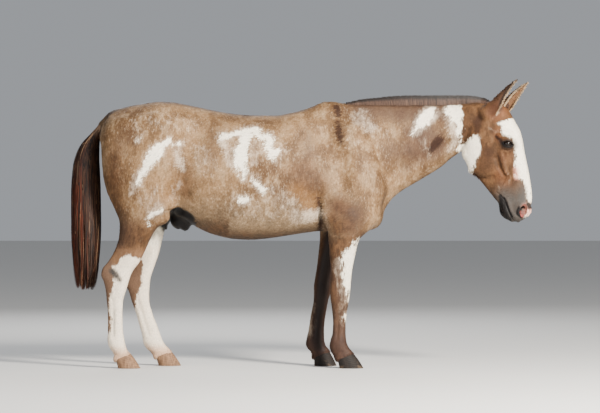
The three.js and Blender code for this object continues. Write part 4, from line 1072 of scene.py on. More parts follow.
RIGHT_NECK_PATCH = [(830, 1458), (838, 1486), (912, 1490), (930, 1440), (920, 1373), (880, 1392)]
# Golden brown behind the shoulder, in the flank and along the buttock
GOLD = [
    (0.9, [(-8, 1020, 50), (60, 970, 60), (60, 915, 50)]), (0.6, [(-700, 1060, 50), (-740, 990, 50)]),
    (0.5, [(-1060, 1080, 50), (-1050, 960, 50)]), (0.4, [(-60, 1130, 60), (60, 1160, 60)]),
]
BODY_RED = [(0.8, [(-900, 690, 14), (-886, 640, 18), (-872, 600, 12)]), (0.5, [(-905, 780, 26)])]
# Painted shadow that the near foreleg casts on the inner side of the far foreleg, as x, z and radius
FAR_FORELEG_SHADOW = [
    (200, 860, 22), (165, 700, 26), (136, 560, 28), (118, 400, 28), (98, 280, 18), (92, 160, 20),
    (104, 110, 16),
]
# The brown points of the hocks, behind the white
RIGHT_HOCK = [(-1118, 620, 40), (-1100, 545, 46), (-1104, 470, 34), (-1100, 330, 14), (-1096, 220, 8)]
LEFT_HOCK = [(-972, 590, 58), (-968, 490, 50), (-978, 410, 34), (-960, 350, 14)]
# The near foreleg's white: its top and foot, and for each height the furthest back that it reaches.
# The hind legs' white: for each place from back to front how high it reaches
FORE_WHITE_TOP, FORE_WHITE_FOOT = 748, 262
fore_right_white = curve([
    (268, 262), (281, 250), (332, 234), (417, 218), (480, 200), (569, 184), (600, 180), (622, 186),
    (648, 226), (677, 262), (700, 290), (728, 318), (748, 345),
])
HIND_RIGHT_TOP = curve([(-1150, 560), (-1043, 590), (-1015, 641), (-981, 648), (-936, 630), (-900, 622)])
HIND_LEFT_TOP = curve([(-1020, 640), (-960, 700), (-900, 770), (-860, 812), (-800, 850), (-760, 858)])

# %% Patches on the head, as down the face and forward
blaze_edge = curve([
    (92, 150), (100, 60), (104, 28), (119, 44), (158, 44), (178, 50), (200, 80), (212, 96), (251, 93),
    (278, 88), (323, 74), (379, 63), (415, 52), (430, 48), (436, 68), (445, 83), (492, 93), (567, 84),
    (605, 82), (660, 40),
])
left_blaze_edge = curve([
    (80, 150), (92, 80), (120, 70), (180, 84), (250, 92), (330, 84), (420, 78), (500, 88), (567, 80),
    (605, 74), (660, 40),
])
CHEEK_PATCH = [
    (140, -112), (152, -152), (176, -214), (262, -228), (352, -214), (334, -166),
    (294, -138), (248, -106), (205, -84), (165, -88),
]
# Dark marks of the face. The second, fourth and fifth are painted shade: in the fold above the eye, under the
# facial crest and along the edge of the jaw
HEAD_DARK_AND_SHADE = [
    (0.34, [(134, -12, 12), (158, -8, 11)]), (0.75, [(176, 8, 8), (194, 20, 10), (214, 32, 10)]),
    (0.16, [(320, -60, 40), (360, -110, 36)]), (0.35, [(255, -14, 9), (310, -6, 9), (352, -12, 9)]),
    (0.3, [(396, -92, 12), (386, -146, 14), (352, -178, 12)]), (0.45, [(60, -70, 24), (120, -90, 20)]),
    (0.35, [(40, -60, 20), (70, -90, 20)]), (0.3, [(250, -60, 40), (330, -90, 40)]),
]
HEAD_RED = [
    (0.5, [(150, 24, 20), (186, 20, 14)]), (0.35, [(384, -30, 34), (440, -14, 32)]), (0.6, [(40, 40, 50)]),
    (0.2, [(300, 30, 34)]),
]
HEAD_SOFT = [
    (0.5, [(120, -26, 6), (136, -6, 7), (152, 20, 9)]), (0.3, [(452, -48, 10), (490, -58, 8)]),
    (0.5, [(498, -30, 4), (512, -20, 4)]),
    (0.2, [(404, 26, 18), (440, 10, 20)]),
]
# Dark bare skin of the chin and round the nostril
INK = [
    [(512, -54, 10), (535, -54, 16), (575, -56, 20), (620, -54, 20), (648, -42, 16)],
    [(530, -38, 8), (565, -32, 9), (600, -28, 8), (640, -18, 6)],
    [(600, 34, 7), (628, 22, 9), (652, 34, 8)], [(588, 84, 8), (612, 88, 9)],
]


def patch(distance, softness):
    """1 well inside a mark, 0 well outside, and half way at its edge."""
    return np.clip(0.5 - distance / (2 * softness), 0, 1)


def faint(a, b, chains, softness):
    """The strongest of several faint marks."""
    return np.max([strength * patch(spots(a, b, chain), softness) for strength, chain in chains], axis=0)


def past_throat(x, z, start=935):
    """How far a point is ahead of the sloping line between neck and head."""
    return x - start + 0.32 * (z - 1250)


def ears_share(x, y, z):
    """How much each point belongs to an ear, to the black trim, and to the pale inside."""
    belongs, trim, fringe, inner = (np.zeros(len(x)) for _ in range(4))
    for ear in EARS.values():
        along, length, share, angle, radius, outer, wrap = ear_measures(ear, x, y, z)
        on = (along > 8) & (radius < outer + 8) & (ear_leaf(ear, x, y, z) < 5)
        inside = on & (radius < outer - ear_wall(share) / 2)
        to_edge = (wrap - np.abs(angle)) * outer
        root = ease((along + 34) / 40) * patch(radius - outer - 6, 12) * (along < length)
        belongs = np.maximum(belongs, root)
        strip = 1 - ease((to_edge - 5) / 4)
        band = (1 - ease((to_edge - 15 - 5 * share) / 8)) * (1 - strip)
        tip = ease((share - 0.86) / 0.1)
        upper = 0.88 * ease((share - 0.42) / 0.36)
        black = np.maximum(band * ease((share - 0.1) / 0.2), np.maximum(tip, upper))
        trim = np.where(on & ~inside, black, trim)
        fringe = np.where(inside, 1 - ease((to_edge - 5) / 8), np.where(on, strip * (1 - tip), fringe))
        inner = np.where(inside, 1.0, inner)
    return belongs, trim * belongs, fringe * belongs, inner * belongs


# The mark of a white patch runs from 1 to -1 over this distance on either side of its edge
WHITE_REACH = 40


def markings(points):
    """The marks at points of the straight mule, as a dictionary of arrays."""
    x, y, z = points.T
    right = y < 0
    side_gap = np.abs(y)
    down, forward = to_head(x, z)
    body = past_throat(x, z) < 0

    def sided(right_marks, left_marks, softness):
        both = np.where(right, faint(x, z, right_marks, softness), faint(x, z, left_marks, softness))
        return both * (side_gap > 20)

    def on_face(marks, softness):
        return faint(down, forward, marks, softness)

    # Trunk and neck
    white = np.where(right, nearest(x, z, RIGHT_WHITE), nearest(x, z, LEFT_WHITE))
    white = np.where(right, np.minimum(white, region(x, z, RIGHT_NECK_PATCH)), white)
    white = np.maximum(white, 25 - side_gap)

    # Legs
    hind = x < -400
    on_leg = (z < 860) & (hind | (x < 420))
    hock_point = np.where(right, spots(x, z, RIGHT_HOCK), spots(x, z, LEFT_HOCK))
    hind_white = np.where(right, z - HIND_RIGHT_TOP(x), z - HIND_LEFT_TOP(x))
    hind_white = np.maximum(hind_white, -hock_point)
    freckled = 60 * ease((z - 290) / 60) * ease((660 - z) / 70)
    fore_white = np.where(right, (fore_right_white(z) + freckled * 0.8 - x) / 2.3, FAR)
    fore_white = np.maximum(fore_white, np.maximum(z - FORE_WHITE_TOP, FORE_WHITE_FOOT - z))
    speckled = patch(fore_right_white(z) - 6 - x, 8) * ease((z - 280) / 40) * (z < 660) * (x < 420) * right
    white = np.where(on_leg, np.minimum(white, np.where(hind, hind_white, fore_white)), white)
    grey_spots = spots(x, z, [(-1070, 556, 18), (-1044, 528, 18), (-1026, 508, 12)])
    tendon_line = spots(x, z, [(-1058, 330, 3), (-1060, 200, 3)])
    leg_grey = patch(grey_spots, 8) * (hind & right) + 0.7 * patch(tendon_line, 8) * (hind & right)
    leg_brown = np.where(hind, 0.8 * ease((960 - z) / 200), 0.95 * ease((860 - z) / 160))

    # Head
    edge = np.where(right, blaze_edge(down), left_blaze_edge(down))
    head_white = np.where((down < 90) | (down > 668), 60, edge - forward)
    left_cheek = spots(down, forward, [(250, -150, 20), (300, -140, 16)])
    cheek = np.where(right | (side_gap < 75), region(down, forward, CHEEK_PATCH), left_cheek)
    head_white = np.minimum(head_white, cheek)
    roan = np.clip(0.62 - np.minimum(np.where(body, white, head_white + 26), 60) / 70, 0, 0.62)
    muzzle = ease((down - 410 - 12 * np.sin(forward / 17)) / 130) * patch(forward - edge + 2, 12)
    nose_pink = ease((down - 570) / 40) * patch(56 - forward, 14)
    blaze_pink = patch(spots(down, forward, [(380, 68, 10), (425, 60, 12)]), 12)
    p = (down, forward, side_gap)
    hole = rods(p, NOSTRIL_HOLE)
    ink = patch(nearest(down, forward, INK), 9) * (side_gap < 75)

    # Bare dark skin: lids, lips, nostrils, the groin and under the dock. Painted shade round the eyes
    # and in the cavity of the groin, and painted shadow on the inner side of the far foreleg
    q = np.stack(p, 1) - EYE_PLACE
    eye_gap = np.linalg.norm(q, axis=1)
    slit = lens(q @ EYE_LONG, q @ EYE_TALL, SLIT_HALF_LENGTH, SLIT_UPPER, SLIT_LOWER)
    lid = patch(slit - 13, 6) * (eye_gap < 60)
    lid_shade = patch(slit - 24, 15) * (eye_gap < 90)
    face_black = np.maximum(lid, patch(rods(p, MOUTH_LINE) - 1, 2.5))
    # Black skin of the sheath and groin, with painted shade in the cavity under the flank fold
    groin_skin_and_shade = patch(region(x, z, GROIN_SKIN_AND_SHADE), 8) * patch(side_gap - 165, 8)
    dock_under = patch(np.hypot(x + 1140, (z - 1300) / 3) - 34, 16) * (side_gap < 34)
    # Painted shadow of the near foreleg on the far foreleg's inner side, laid on as black and as dark
    far_leg_shadow = patch(spots(x, z, FAR_FORELEG_SHADOW) - 8, 22) * ~right * (side_gap < 124)
    body_black_and_shade = np.maximum(groin_skin_and_shade, np.maximum(dock_under * 0.9, far_leg_shadow * 0.75))

    ear, trim, fringe, inner = ears_share(x, y, z)
    body_white = np.minimum(white, np.where(x > 880, cheek, 60))
    head_white = np.where(ear > 0.3, 60, np.minimum(head_white, np.where(x < 960, white, 60)))
    body_brown = np.maximum(sided(RIGHT_BROWN, LEFT_BROWN, 60), np.where(on_leg, leg_brown, 0))
    brown = np.where(body, np.maximum(body_brown, 0.8 * ease(past_throat(x, z, 900) / 60)), 0.9)
    # Painted shade along the underside of the belly, laid on as brown
    belly_shade = 0.6 * patch(z - belly_line(np.clip(x, -600, 160)) - 46, 40) * (x > -600) * (x < 160)
    brown = np.maximum(brown, belly_shade)
    top_line = patch(back_line(x) - z - 14, 22) * (x > -1100) * body * (side_gap < 60)
    # Pale veils, with a painted lit edge on the far foreleg
    soft = np.where(body, sided(RIGHT_SOFT, LEFT_SOFT_AND_LIGHT, 26) * 0.85, on_face(HEAD_SOFT, 10))
    dark = np.where(body, sided(RIGHT_DARK_AND_SHADE, LEFT_DARK_AND_SHADE, 16), on_face(HEAD_DARK_AND_SHADE, 9))
    return {
        "white": np.clip(-np.where(body, body_white, head_white) / WHITE_REACH, -1, 1),
        "soft": np.maximum(soft, np.maximum(speckled * 0.4, roan * np.where(on_leg, 0.3, 1))),
        # The dark mark also holds painted shade: shadow lines of the face, the gap behind the elbow and the
        # far foreleg's shadow
        "dark": np.maximum(dark, np.maximum(top_line * 0.5, far_leg_shadow)),
        "brown": brown,
        "plum": np.where(body, faint(x, z, PLUM, 50), 0),
        "gold": np.where(body, faint(x, z, GOLD, 50), 0),
        "red": np.where(body, faint(x, z, BODY_RED, 16) * ~right, on_face(HEAD_RED, 22)),
        "grey": np.where(body, leg_grey, muzzle),
        "pink": np.where(body, 0, np.maximum(nose_pink, blaze_pink)),
        "flesh": np.where(body, 0, patch(hole - 1, 3)),
        "ink": np.where(body, 0, ink),
        "black": np.where(body, body_black_and_shade, face_black),
        "pale": ease((1060 - z) / 260) * (z > 640) * (x > -700) * (x < 330),
        "low": ease((330 - z) / 200) * ~hind * body,
        "ear": ear,
        "trim": trim,
        "fringe": fringe,
        "inner": inner,
        "shade": np.where(body, 0, lid_shade),
        "hock": np.where(hind & (z < 720) & (z > 300), patch(hock_point - 4, 16), 0),
        "cream": hind * (0.25 * ease((720 - z) / 60) + 0.75 * ease((150 - z) / 70)),
    }


# %% [markdown]
# ## Materials
#
# Each material is written as sums on the shader's sockets. The coat starts from the tan of the
# hair and lets noise and the marks change it step by step, in the order in which the real coat
# is layered: hair colour, roan flecks, dark lines, white patches, then bare skin. Some marks also
# hold painted shade and painted light: shade under the belly, in folds of the face, behind the
# elbow and in the groin, a painted shadow on the far foreleg and a painted lit edge on that leg.

# %% Shader maths
class Socket:
    """A shader socket that takes part in Python sums."""

    def __init__(self, tree, socket):
        self.tree = tree
        self.socket = socket

    def sum_with(self, operation, other, first=True):
        values = (self, other) if first else (other, self)
        return self.tree.node("ShaderNodeMath", {"operation": operation}, values)

    def __add__(self, other):
        return self.sum_with("ADD", other)

    def __sub__(self, other):
        return self.sum_with("SUBTRACT", other)

    def __mul__(self, other):
        return self.sum_with("MULTIPLY", other)

    def __rsub__(self, other):
        return self.sum_with("SUBTRACT", other, first=False)

    __radd__ = __add__
    __rmul__ = __mul__

    def power(self, exponent):
        return self.sum_with("POWER", exponent)

    def step(self, low, high):
        """0 below `low`, 1 above `high`, and a smooth slope between."""
        settings = {"interpolation_type": "SMOOTHSTEP"}
        return self.tree.node("ShaderNodeMapRange", settings, (self, low, high, 0.0, 1.0))


def tone(red, green, blue):
    """A screen colour from 0 to 255 as the light it stands for."""
    screen = [c / 255 for c in (red, green, blue)]
    return (*(c / 12.92 if c <= 0.0404 else ((c + 0.055) / 1.055) ** 2.4 for c in screen), 1.0)


class Tree:
    """The nodes of one material, and the colour painted so far."""

    def __init__(self, name):
        self.material = bpy.data.materials.new(name)
        self.material.use_nodes = True
        self.nodes = self.material.node_tree.nodes
        self.links = self.material.node_tree.links
        self.shader = self.nodes["Principled BSDF"]
        self.colour = None

    def fill(self, socket, value):
        """Links a socket to a value that nodes work out, or sets it to a plain one."""
        if isinstance(value, Socket):
            self.links.new(value.socket, socket)
        else:
            socket.default_value = value

    def node(self, kind, settings=None, values=(), output=0):
        """Adds a node. Values fill its sockets in order, or by name from a dictionary."""
        made = self.nodes.new(kind)
        for key, value in (settings or {}).items():
            setattr(made, key, value)
        pairs = values.items() if isinstance(values, dict) else enumerate(values)
        for key, value in pairs:
            self.fill(made.inputs[key], value)
        return Socket(self, made.outputs[output])

    def mark(self, name):
        return self.node("ShaderNodeAttribute", {"attribute_name": name}, output="Fac")

    def place(self, scale):
        spot = self.node("ShaderNodeTexCoord", output="Object")
        return self.node("ShaderNodeVectorMath", {"operation": "MULTIPLY"}, (spot, scale))

    def noise(self, scale, detail=2.0, stretch=(1, 1, 1)):
        return self.node("ShaderNodeTexNoise", {}, {
            "Vector": self.place(stretch), "Scale": scale, "Detail": detail, "Roughness": 0.55,
        })

    def mix(self, a, b, factor, blend="MIX"):
        made = self.nodes.new("ShaderNodeMix")
        made.data_type = "RGBA"
        made.blend_type = blend
        made.clamp_factor = True
        for index, value in ((0, factor), (6, a), (7, b)):
            self.fill(made.inputs[index], value)
        return Socket(self, made.outputs[2])

    def paint(self, red, green, blue, share):
        """Lays a screen colour over what is there, as strongly as its share says."""
        self.colour = self.mix(self.colour, tone(red, green, blue), share)

    def dim(self, light):
        """Lightens or darkens what is there."""
        grey = self.node("ShaderNodeCombineXYZ", {}, (light, light, light))
        self.colour = self.mix(self.colour, grey, 1.0, "MULTIPLY")

    def feed(self, **sockets):
        """Links or sets the shader's own sockets, with _ for a space in their names."""
        for name, value in sockets.items():
            self.fill(self.shader.inputs[name.replace("_", " ")], value)
        return self.material

    def bump(self, height, strength, distance):
        values = {"Strength": strength, "Distance": distance, "Height": height}
        return self.node("ShaderNodeBump", {}, values, output="Normal")


# %% Coat
def coat_material():
    t = Tree("coat")
    broad = t.noise(2.6, 3.0)
    middle = t.noise(11, 3.0, (1.2, 1.0, 0.7))
    patchy = t.noise(38, 3.0, (1.4, 1.0, 0.65))
    grain = t.noise(105, 2.0, (1.3, 1.0, 0.6))
    fleck = t.noise(330, 2.0)
    strand = t.noise(150, 2.0, (0.35, 1.6, 1.1))
    t.colour = t.mix(tone(98, 71, 45), tone(134, 104, 72), broad.step(0.36, 0.64))
    t.paint(168, 142, 110, (middle + patchy * 0.4).step(0.66, 0.88) * 0.38)
    t.paint(74, 51, 31, (middle * 0.8 + broad * 0.4).step(0.66, 0.48) * 0.6)
    t.paint(146, 130, 106, t.mark("pale") * 0.35)
    mottle = grain * 0.75 + patchy * 0.33
    t.paint(188, 164, 136, mottle.step(0.54, 0.74) * 0.34)
    t.paint(62, 43, 28, mottle.step(0.53, 0.36) * 0.42)
    t.paint(126, 86, 44, (t.mark("gold") + (middle - 0.5) * 0.4).step(0.1, 0.9) * 0.6)
    t.paint(74, 54, 42, (t.mark("plum") + (patchy - 0.5) * 0.5).step(0.1, 0.9) * 0.78)
    # The brown also carries painted shade along the underside of the belly
    brown = t.mix(tone(56, 35, 20), tone(92, 62, 38), (middle * 0.5 + patchy * 0.5).step(0.38, 0.62))
    brown_share = (t.mark("brown") + (middle - 0.5) * 0.5 + (patchy - 0.5) * 0.3).step(0.1, 0.95)
    t.colour = t.mix(t.colour, brown, brown_share * 0.92)
    t.paint(80, 62, 52, t.mark("plum") * 0.42)
    t.paint(136, 80, 46, t.mark("red") * 0.6)
    # Dark lines and spots, with painted shade in folds of the face, in the gap behind the elbow and as the
    # far foreleg's painted shadow
    darkness = (t.mark("dark") + (patchy - 0.5) * 0.35).step(0.08, 0.62)
    t.paint(42, 24, 16, darkness * 0.92)
    t.paint(54, 38, 34, t.mark("low") * 0.75)
    t.paint(66, 54, 48, t.mark("hock") * 0.9)
    # Pale veils and flecks, with a painted lit edge on the far foreleg
    soft = t.mark("soft") + (fleck - 0.5) * 0.3 + (patchy - 0.5) * 0.8 + (grain - 0.5) * 0.4
    soft = soft.step(0.16, 1.08)
    t.paint(220, 202, 180, soft * 0.74)
    edge = t.mark("white") * WHITE_REACH + (middle - 0.5) * 52 + (patchy - 0.5) * 46
    edge = edge + (grain - 0.5) * 20 + (fleck - 0.5) * 22
    white = t.mix(tone(246, 234, 212), tone(252, 244, 226), broad)
    white = t.mix(white, tone(214, 190, 166), (middle * 0.6 + patchy * 0.4).step(0.52, 0.74) * 0.4)
    t.colour = t.mix(t.colour, white, edge.step(-4, 7))
    t.paint(196, 148, 110, t.mark("cream") * 0.78)
    t.paint(66, 61, 57, t.mark("grey") * (patchy * 0.7 + 0.6))
    t.paint(208, 144, 124, t.mark("pink") * 0.75)
    t.paint(13, 10, 10, (t.mark("ink") + (patchy - 0.5) * 0.4).step(0.15, 0.65) * 0.95)
    t.paint(46, 29, 20, t.mark("ear") * 0.85)
    t.paint(126, 92, 66, t.mark("inner") * 0.85)
    t.paint(176, 152, 122, t.mark("fringe") * 0.8)
    t.paint(17, 13, 12, t.mark("trim") * 0.93)
    t.paint(30, 20, 16, t.mark("shade") * 0.85)
    t.paint(196, 106, 98, t.mark("flesh") * 0.85)
    # Black bare skin, with painted shade in the groin's cavity and painted shadow on the far foreleg
    t.paint(14, 11, 11, t.mark("black"))
    light = t.mark("vary") * 0.24 + strand * 0.36 + 0.82
    t.dim(light)
    height = strand * 0.7 + fleck * 0.3
    return t.feed(
        Base_Color=t.colour,
        Roughness=0.62 - t.mark("black") * 0.16,
        Normal=t.bump(height, 0.5, 0.0015),
        Sheen_Weight=0.02,
        Sheen_Roughness=0.45,
        Specular_IOR_Level=0.18,
    )


COAT = coat_material()

# %% [markdown]
# ## The skin
#
# One object stands for torso, neck, head, ears and legs. It carries the marks as numbers on its
# points. It is also unwrapped flat, because every tuft of the coat needs a place on that unwrap.

# %% Skin object
MAP_NAME = "OFBake"


def corner_vertices(mesh):
    """The vertex at each corner of each face."""
    index = np.zeros(len(mesh.loops), np.int32)
    mesh.loops.foreach_get("vertex_index", index)
    return index


def set_map(mesh, places, spread):
    """Maps each tuft or strand to its root's place on the skin, with its points a little spread."""
    index, each = corner_vertices(mesh), len(spread)
    at = (places[index // each] + spread[index % each]).astype(np.float32)
    mesh.uv_layers.new(name=MAP_NAME).data.foreach_set("uv", at.ravel())


def set_marks(obj, marks):
    for name, values in marks.items():
        attribute = obj.data.attributes.new(name, "FLOAT", "POINT")
        attribute.data.foreach_set("value", np.asarray(values, np.float32))


def finish_piece(obj, nodes=()):
    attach(obj, "root")
    if nodes:
        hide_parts(*nodes)


skin_marks = markings(skin_points)
skin_marks["vary"] = np.zeros(len(skin_points))
skin_object = mesh_object("skin", place_turned(skin_points), skin_triangles, COAT)
set_marks(skin_object, skin_marks)
finish_piece(skin_object, (
    "torso", "neck", "head", "ear_right", "ear_left",
    "leg_hind_right", "leg_hind_left", "leg_fore_right", "leg_fore_left",
))
skin_object.data.uv_layers.new(name=MAP_NAME)
bpy.context.view_layer.objects.active = skin_object
skin_object.select_set(True)
bpy.ops.object.mode_set(mode="EDIT")
bpy.ops.mesh.select_all(action="SELECT")
bpy.ops.uv.smart_project(angle_limit=math.radians(66), island_margin=0.002)
bpy.ops.object.mode_set(mode="OBJECT")
skin_object.select_set(False)
skin_map = np.zeros(2 * len(skin_object.data.loops), np.float32)
skin_object.data.uv_layers[MAP_NAME].data.foreach_get("uv", skin_map)
skin_map = skin_map.reshape(-1, 3, 2)
skin_corners = corner_vertices(skin_object.data).reshape(-1, 3)
print("skin map:", skin_map.min(), skin_map.max())

# %% [markdown]
# ## The coat
#
# A mule's summer coat is short and lies flat, so most of it is the bump on the skin. Small flat
# tufts lie over it on every side, each pointing the way the hair grows: back along the trunk,
# down the legs and down the face. They grow longer where a real coat breaks the outline: under
# the jaw, along the belly, behind the fetlocks, over the hooves, and in the ears. The tufts are
# made as arrays, because a loop over so many would be slow.

# %% Which way the hair lies
def coat_lie(points):
    """Back along the trunk and down the legs and face, with a gentle turn between them."""
    x, y, z = points.T
    lie = np.tile((-0.88, 0, -0.45), (len(points), 1))

    def turn_to(direction, share):
        lie[:] = lerp(lie, np.asarray(direction, float), share[:, None])

    turn_to((-0.25, 0, -1), ease((-x - 820) / 200))
    turn_to((-0.3, 0, -0.95), ease((x - 260) / 180) * ease((1250 - z) / 160))
    turn_to((-0.55, 0, -0.8), ease((x - 330) / 200) * ease((z - 1150) / 120))
    turn_to((0.5, 0, -0.85), ease((x + 720) / 60) * ease((-560 - x) / 80) * ease((1150 - z) / 200))
    turn_to((-0.05, 0, -1), ease((780 - z) / 120) * ((x < -680) | (x > 0)))
    turn_to((SLANT[0], 0, -SLANT[1]), ease(past_throat(x, z, 930) / 60))
    for ear in EARS.values():
        along, _, _, _, radius, outer, _ = ear_measures(ear, x, y, z)
        turn_to(ear_axes(ear)[1], ease((along - 5) / 30) * (radius < outer + 10))
    dock = (x < -1085) & (np.abs(y) < 40) & (z > 1090)
    lie[dock] = (-0.35, 0, -0.9)
    return lie


# %% Tufts
def skin_frames():
    """Areas, normals and centres of the skin's triangles before the neck is turned."""
    a, b, c = (skin_points[skin_corners[:, i]] for i in range(3))
    cross = np.cross(b - a, c - a)
    size = np.linalg.norm(cross, axis=1)
    return size / 2, cross / np.maximum(size, 1e-9)[:, None], (a + b + c) / 3


skin_areas, skin_normals, skin_centres = skin_frames()


def pick_roots(weight, count):
    """Random places on the skin: the triangle of each and its place in the triangle."""
    share = np.cumsum(weight * skin_areas)
    which = np.searchsorted(share, rng.random(count) * share[-1])
    which = np.minimum(which, len(share) - 1)
    u, v = rng.random((2, count))
    over = u + v > 1
    u, v = np.where(over, 1 - u, u), np.where(over, 1 - v, v)
    return which, np.stack([1 - u - v, u, v], 1)


# The form of a tuft: for each pair of points the share of its length, its height and its width
TUFT_STEPS = ((0, -0.5, 0.8), (0.5, 0.45, 1.0), (1, 1.0, 0))
TUFT_MAP = np.array([(-1, -1), (1, -1), (-0.7, 0), (0.7, 0), (0, 1)]) * 0.0015


def make_tufts(name, weight, count, length, width, lift, lie=coat_lie, spread=0.2, colour_shift=0.0):
    """A piece of coat. Length, width, lift and lie are functions of the roots, or the same for all."""
    which, share = pick_roots(weight, count)
    corners = skin_points[skin_corners[which]]
    root = np.einsum("nk,nkd->nd", share, corners)
    patch_at = np.einsum("nk,nkd->nd", share, skin_map[which])
    normal = skin_normals[which]
    along = lie(root) if callable(lie) else np.tile(lie, (count, 1))
    along = along - normal * (along * normal).sum(1)[:, None]
    along = unit(along + 1e-6)
    across = np.cross(normal, along)
    along = unit(along + across * rng.normal(0, spread, count)[:, None])
    across = np.cross(normal, along)
    sizes = (value(root) if callable(value) else value for value in (length, width, lift))
    ranges = ((0.7, 1.25), (0.75, 1.2), (0.5, 1.3))
    longs, wides, lifts = (size * rng.uniform(*limits, count) for size, limits in zip(sizes, ranges))
    rows = []
    for along_share, height, wide in TUFT_STEPS:
        place = root + along * (longs * along_share)[:, None]
        rise = lifts * height + 0.25 - skin_at(place) if along_share else np.full(count, height)
        place = place + normal * rise[:, None]
        half = across * (wides * wide / 2)[:, None]
        rows += [place - half, place + half] if wide else [place]
    points = np.stack(rows, 1)
    faces = np.array([(0, 1, 3), (0, 3, 2), (2, 3, 4)])
    faces = (faces[None] + 5 * np.arange(count)[:, None, None]).reshape(-1, 3)
    obj = mesh_object(name, place_turned(points.reshape(-1, 3)), faces, COAT)
    marks = markings(root)
    marks["vary"] = np.clip(rng.normal(colour_shift, 0.45, count), -1.4, 1.4)
    marks["black"] = marks["black"] * 0.6
    set_marks(obj, {key: np.repeat(values, 5) for key, values in marks.items()})
    set_map(obj.data, patch_at, TUFT_MAP)
    finish_piece(obj)
    print(name, len(obj.data.polygons), "triangles")


cx, cy, cz = skin_centres.T
c_down, c_forward = to_head(cx, cz)
c_marks = markings(skin_centres)
is_head = past_throat(cx, cz) > 0
is_leg = (cz < 700) & ~is_head
is_body = ~is_head & ~is_leg
# No tufts where the black mark is strong: bare skin, and also the painted shade of the groin and the painted
# shadow on the far foreleg
bare = (c_marks["black"] > 0.5) | (c_marks["flesh"] > 0.3)
covered = np.zeros(len(skin_centres), bool)
for hoof in HOOVES.values():
    covered |= by_hoof(hoof, cx, cy) & (above_coronet(hoof, cx, cz) < 2)
open_skin = (~bare & ~covered).astype(float)

COAT_SPLIT = -250
make_tufts("coat_rear", open_skin * is_body * (cx < COAT_SPLIT), 34000, 24, 5.2, 1.3)
make_tufts("coat_front", open_skin * is_body * (cx >= COAT_SPLIT), 34000, 24, 5.2, 1.3)
make_tufts("coat_legs", open_skin * is_leg, 26000, 14, 3.4, 0.7)


def head_length(root):
    down, _ = to_head(root[:, 0], root[:, 2])
    return lerp(12.0, 5.0, ease((down - 380) / 200))


make_tufts("coat_head", open_skin * is_head * (c_marks["inner"] < 0.5), 32000, head_length,
           lambda root: 0.24 * head_length(root) + 0.3, 0.5)

# %% Longer hair where the coat breaks the outline
jaw = is_head * np.exp(-((c_forward - head_back(c_down)) / 26) ** 2) * (c_down > 60) * (c_down < 600)
throat = (cx > 560) * (cx < 960) * np.exp(-((cz - belly_line(np.minimum(cx, 1040))) / 40) ** 2) * ~is_head
belly = (np.abs(cy) < 120) * (skin_normals[:, 2] < -0.5) * (cx > -640) * (cx < 420) * is_body
chest = (cx > 380) * (cx < 560) * (cz > 800) * (cz < 1020) * (np.abs(cy) < 110)
edges_weight = jaw * 1.4 + throat * 0.8 + belly * 0.25 + chest * 0.4
make_tufts("coat_fringe", edges_weight * open_skin, 9000, 26, 3.2, 3.2, spread=0.3)

fetlocks = np.zeros(len(skin_centres))
for side, _, back, out, _, _ in leg_curves.values():
    near = (np.hypot(cx - back(cz), cy - side * out(cz)) < 30) & (cz > 70) & (cz < 200)
    fetlocks += near * np.exp(-((cz - 120) / 40) ** 2)
make_tufts("coat_fetlocks", fetlocks * open_skin, 3200, 30, 2.4, 5.0, lie=(-0.45, 0, -1.0), spread=0.25)

coronets = np.zeros(len(skin_centres))
for hoof in HOOVES.values():
    height = above_coronet(hoof, cx, cz)
    coronets += by_hoof(hoof, cx, cy) & (height > 2) & (height < 16)
make_tufts("coat_coronets", coronets, 3600, 17, 2.6, 3.6, lie=(0.1, 0, -1.0))

inner_ear = (c_marks["inner"] > 0.5) & (c_marks["ear"] > 0.2)
ear_edge = np.maximum(c_marks["trim"] > 0.4, c_marks["fringe"] > 0.6) * 1.0


def ear_lie(root):
    """Hair in an ear points up the leaf and out of its opening."""
    lie = np.zeros((len(root), 3))
    for ear in EARS.values():
        _, axis, _, opening, side = ear_axes(ear)
        _, _, _, angle, radius, outer, _ = ear_measures(ear, *root.T)
        on = radius < outer + 12
        direction = axis * 0.75 + opening * 0.35 - side * np.sign(angle)[:, None] * 0.35
        lie = np.where(on[:, None], direction, lie)
    return lie


make_tufts("ear_hair", inner_ear * 1.0, 3600, 13, 1.3, 3.0, lie=ear_lie, spread=0.3, colour_shift=0.1)
make_tufts("ear_edges", ear_edge, 2600, 6, 1.2, 0.8, spread=0.25)

# %% [markdown]
# ## Mane and tail
#
# The mane is clipped upright, like a brush: thousands of short stiff blades whose tips follow one
# line along the crest. The tail hangs: each strand leaves the dock, falls to its own place in the
# tail and draws towards the middle of its lock on the way down, as damp or dusty hair does.

# %% Long hair's material
def hair_material():
    t = Tree("long_hair")
    tint = t.mark("tint")
    along = t.mark("along")
    streak = t.noise(60, 3.0, (3, 3, 0.12))
    t.colour = t.mix(tone(16, 10, 9), tone(66, 42, 29), streak.step(0.35, 0.7))
    t.paint(108, 46, 25, tint.step(0.3, 0.9) * 0.85)
    t.paint(150, 118, 90, t.mark("frost"))
    t.paint(70, 51, 41, t.mark("mane"))
    t.paint(16, 11, 11, t.mark("mane") * along.step(0.5, 0.9) * 0.9)
    light = t.mark("vary") * (t.mark("mane") * 0.3 + 0.4) + 1.0
    t.dim(light)
    return t.feed(Base_Color=t.colour, Roughness=0.55, Specular_IOR_Level=0.25,
                  Normal=t.bump(streak, 0.3, 0.0008))


HAIR = hair_material()


# %% Ribbons of hair
STRAND_ON_MAP = 0.003


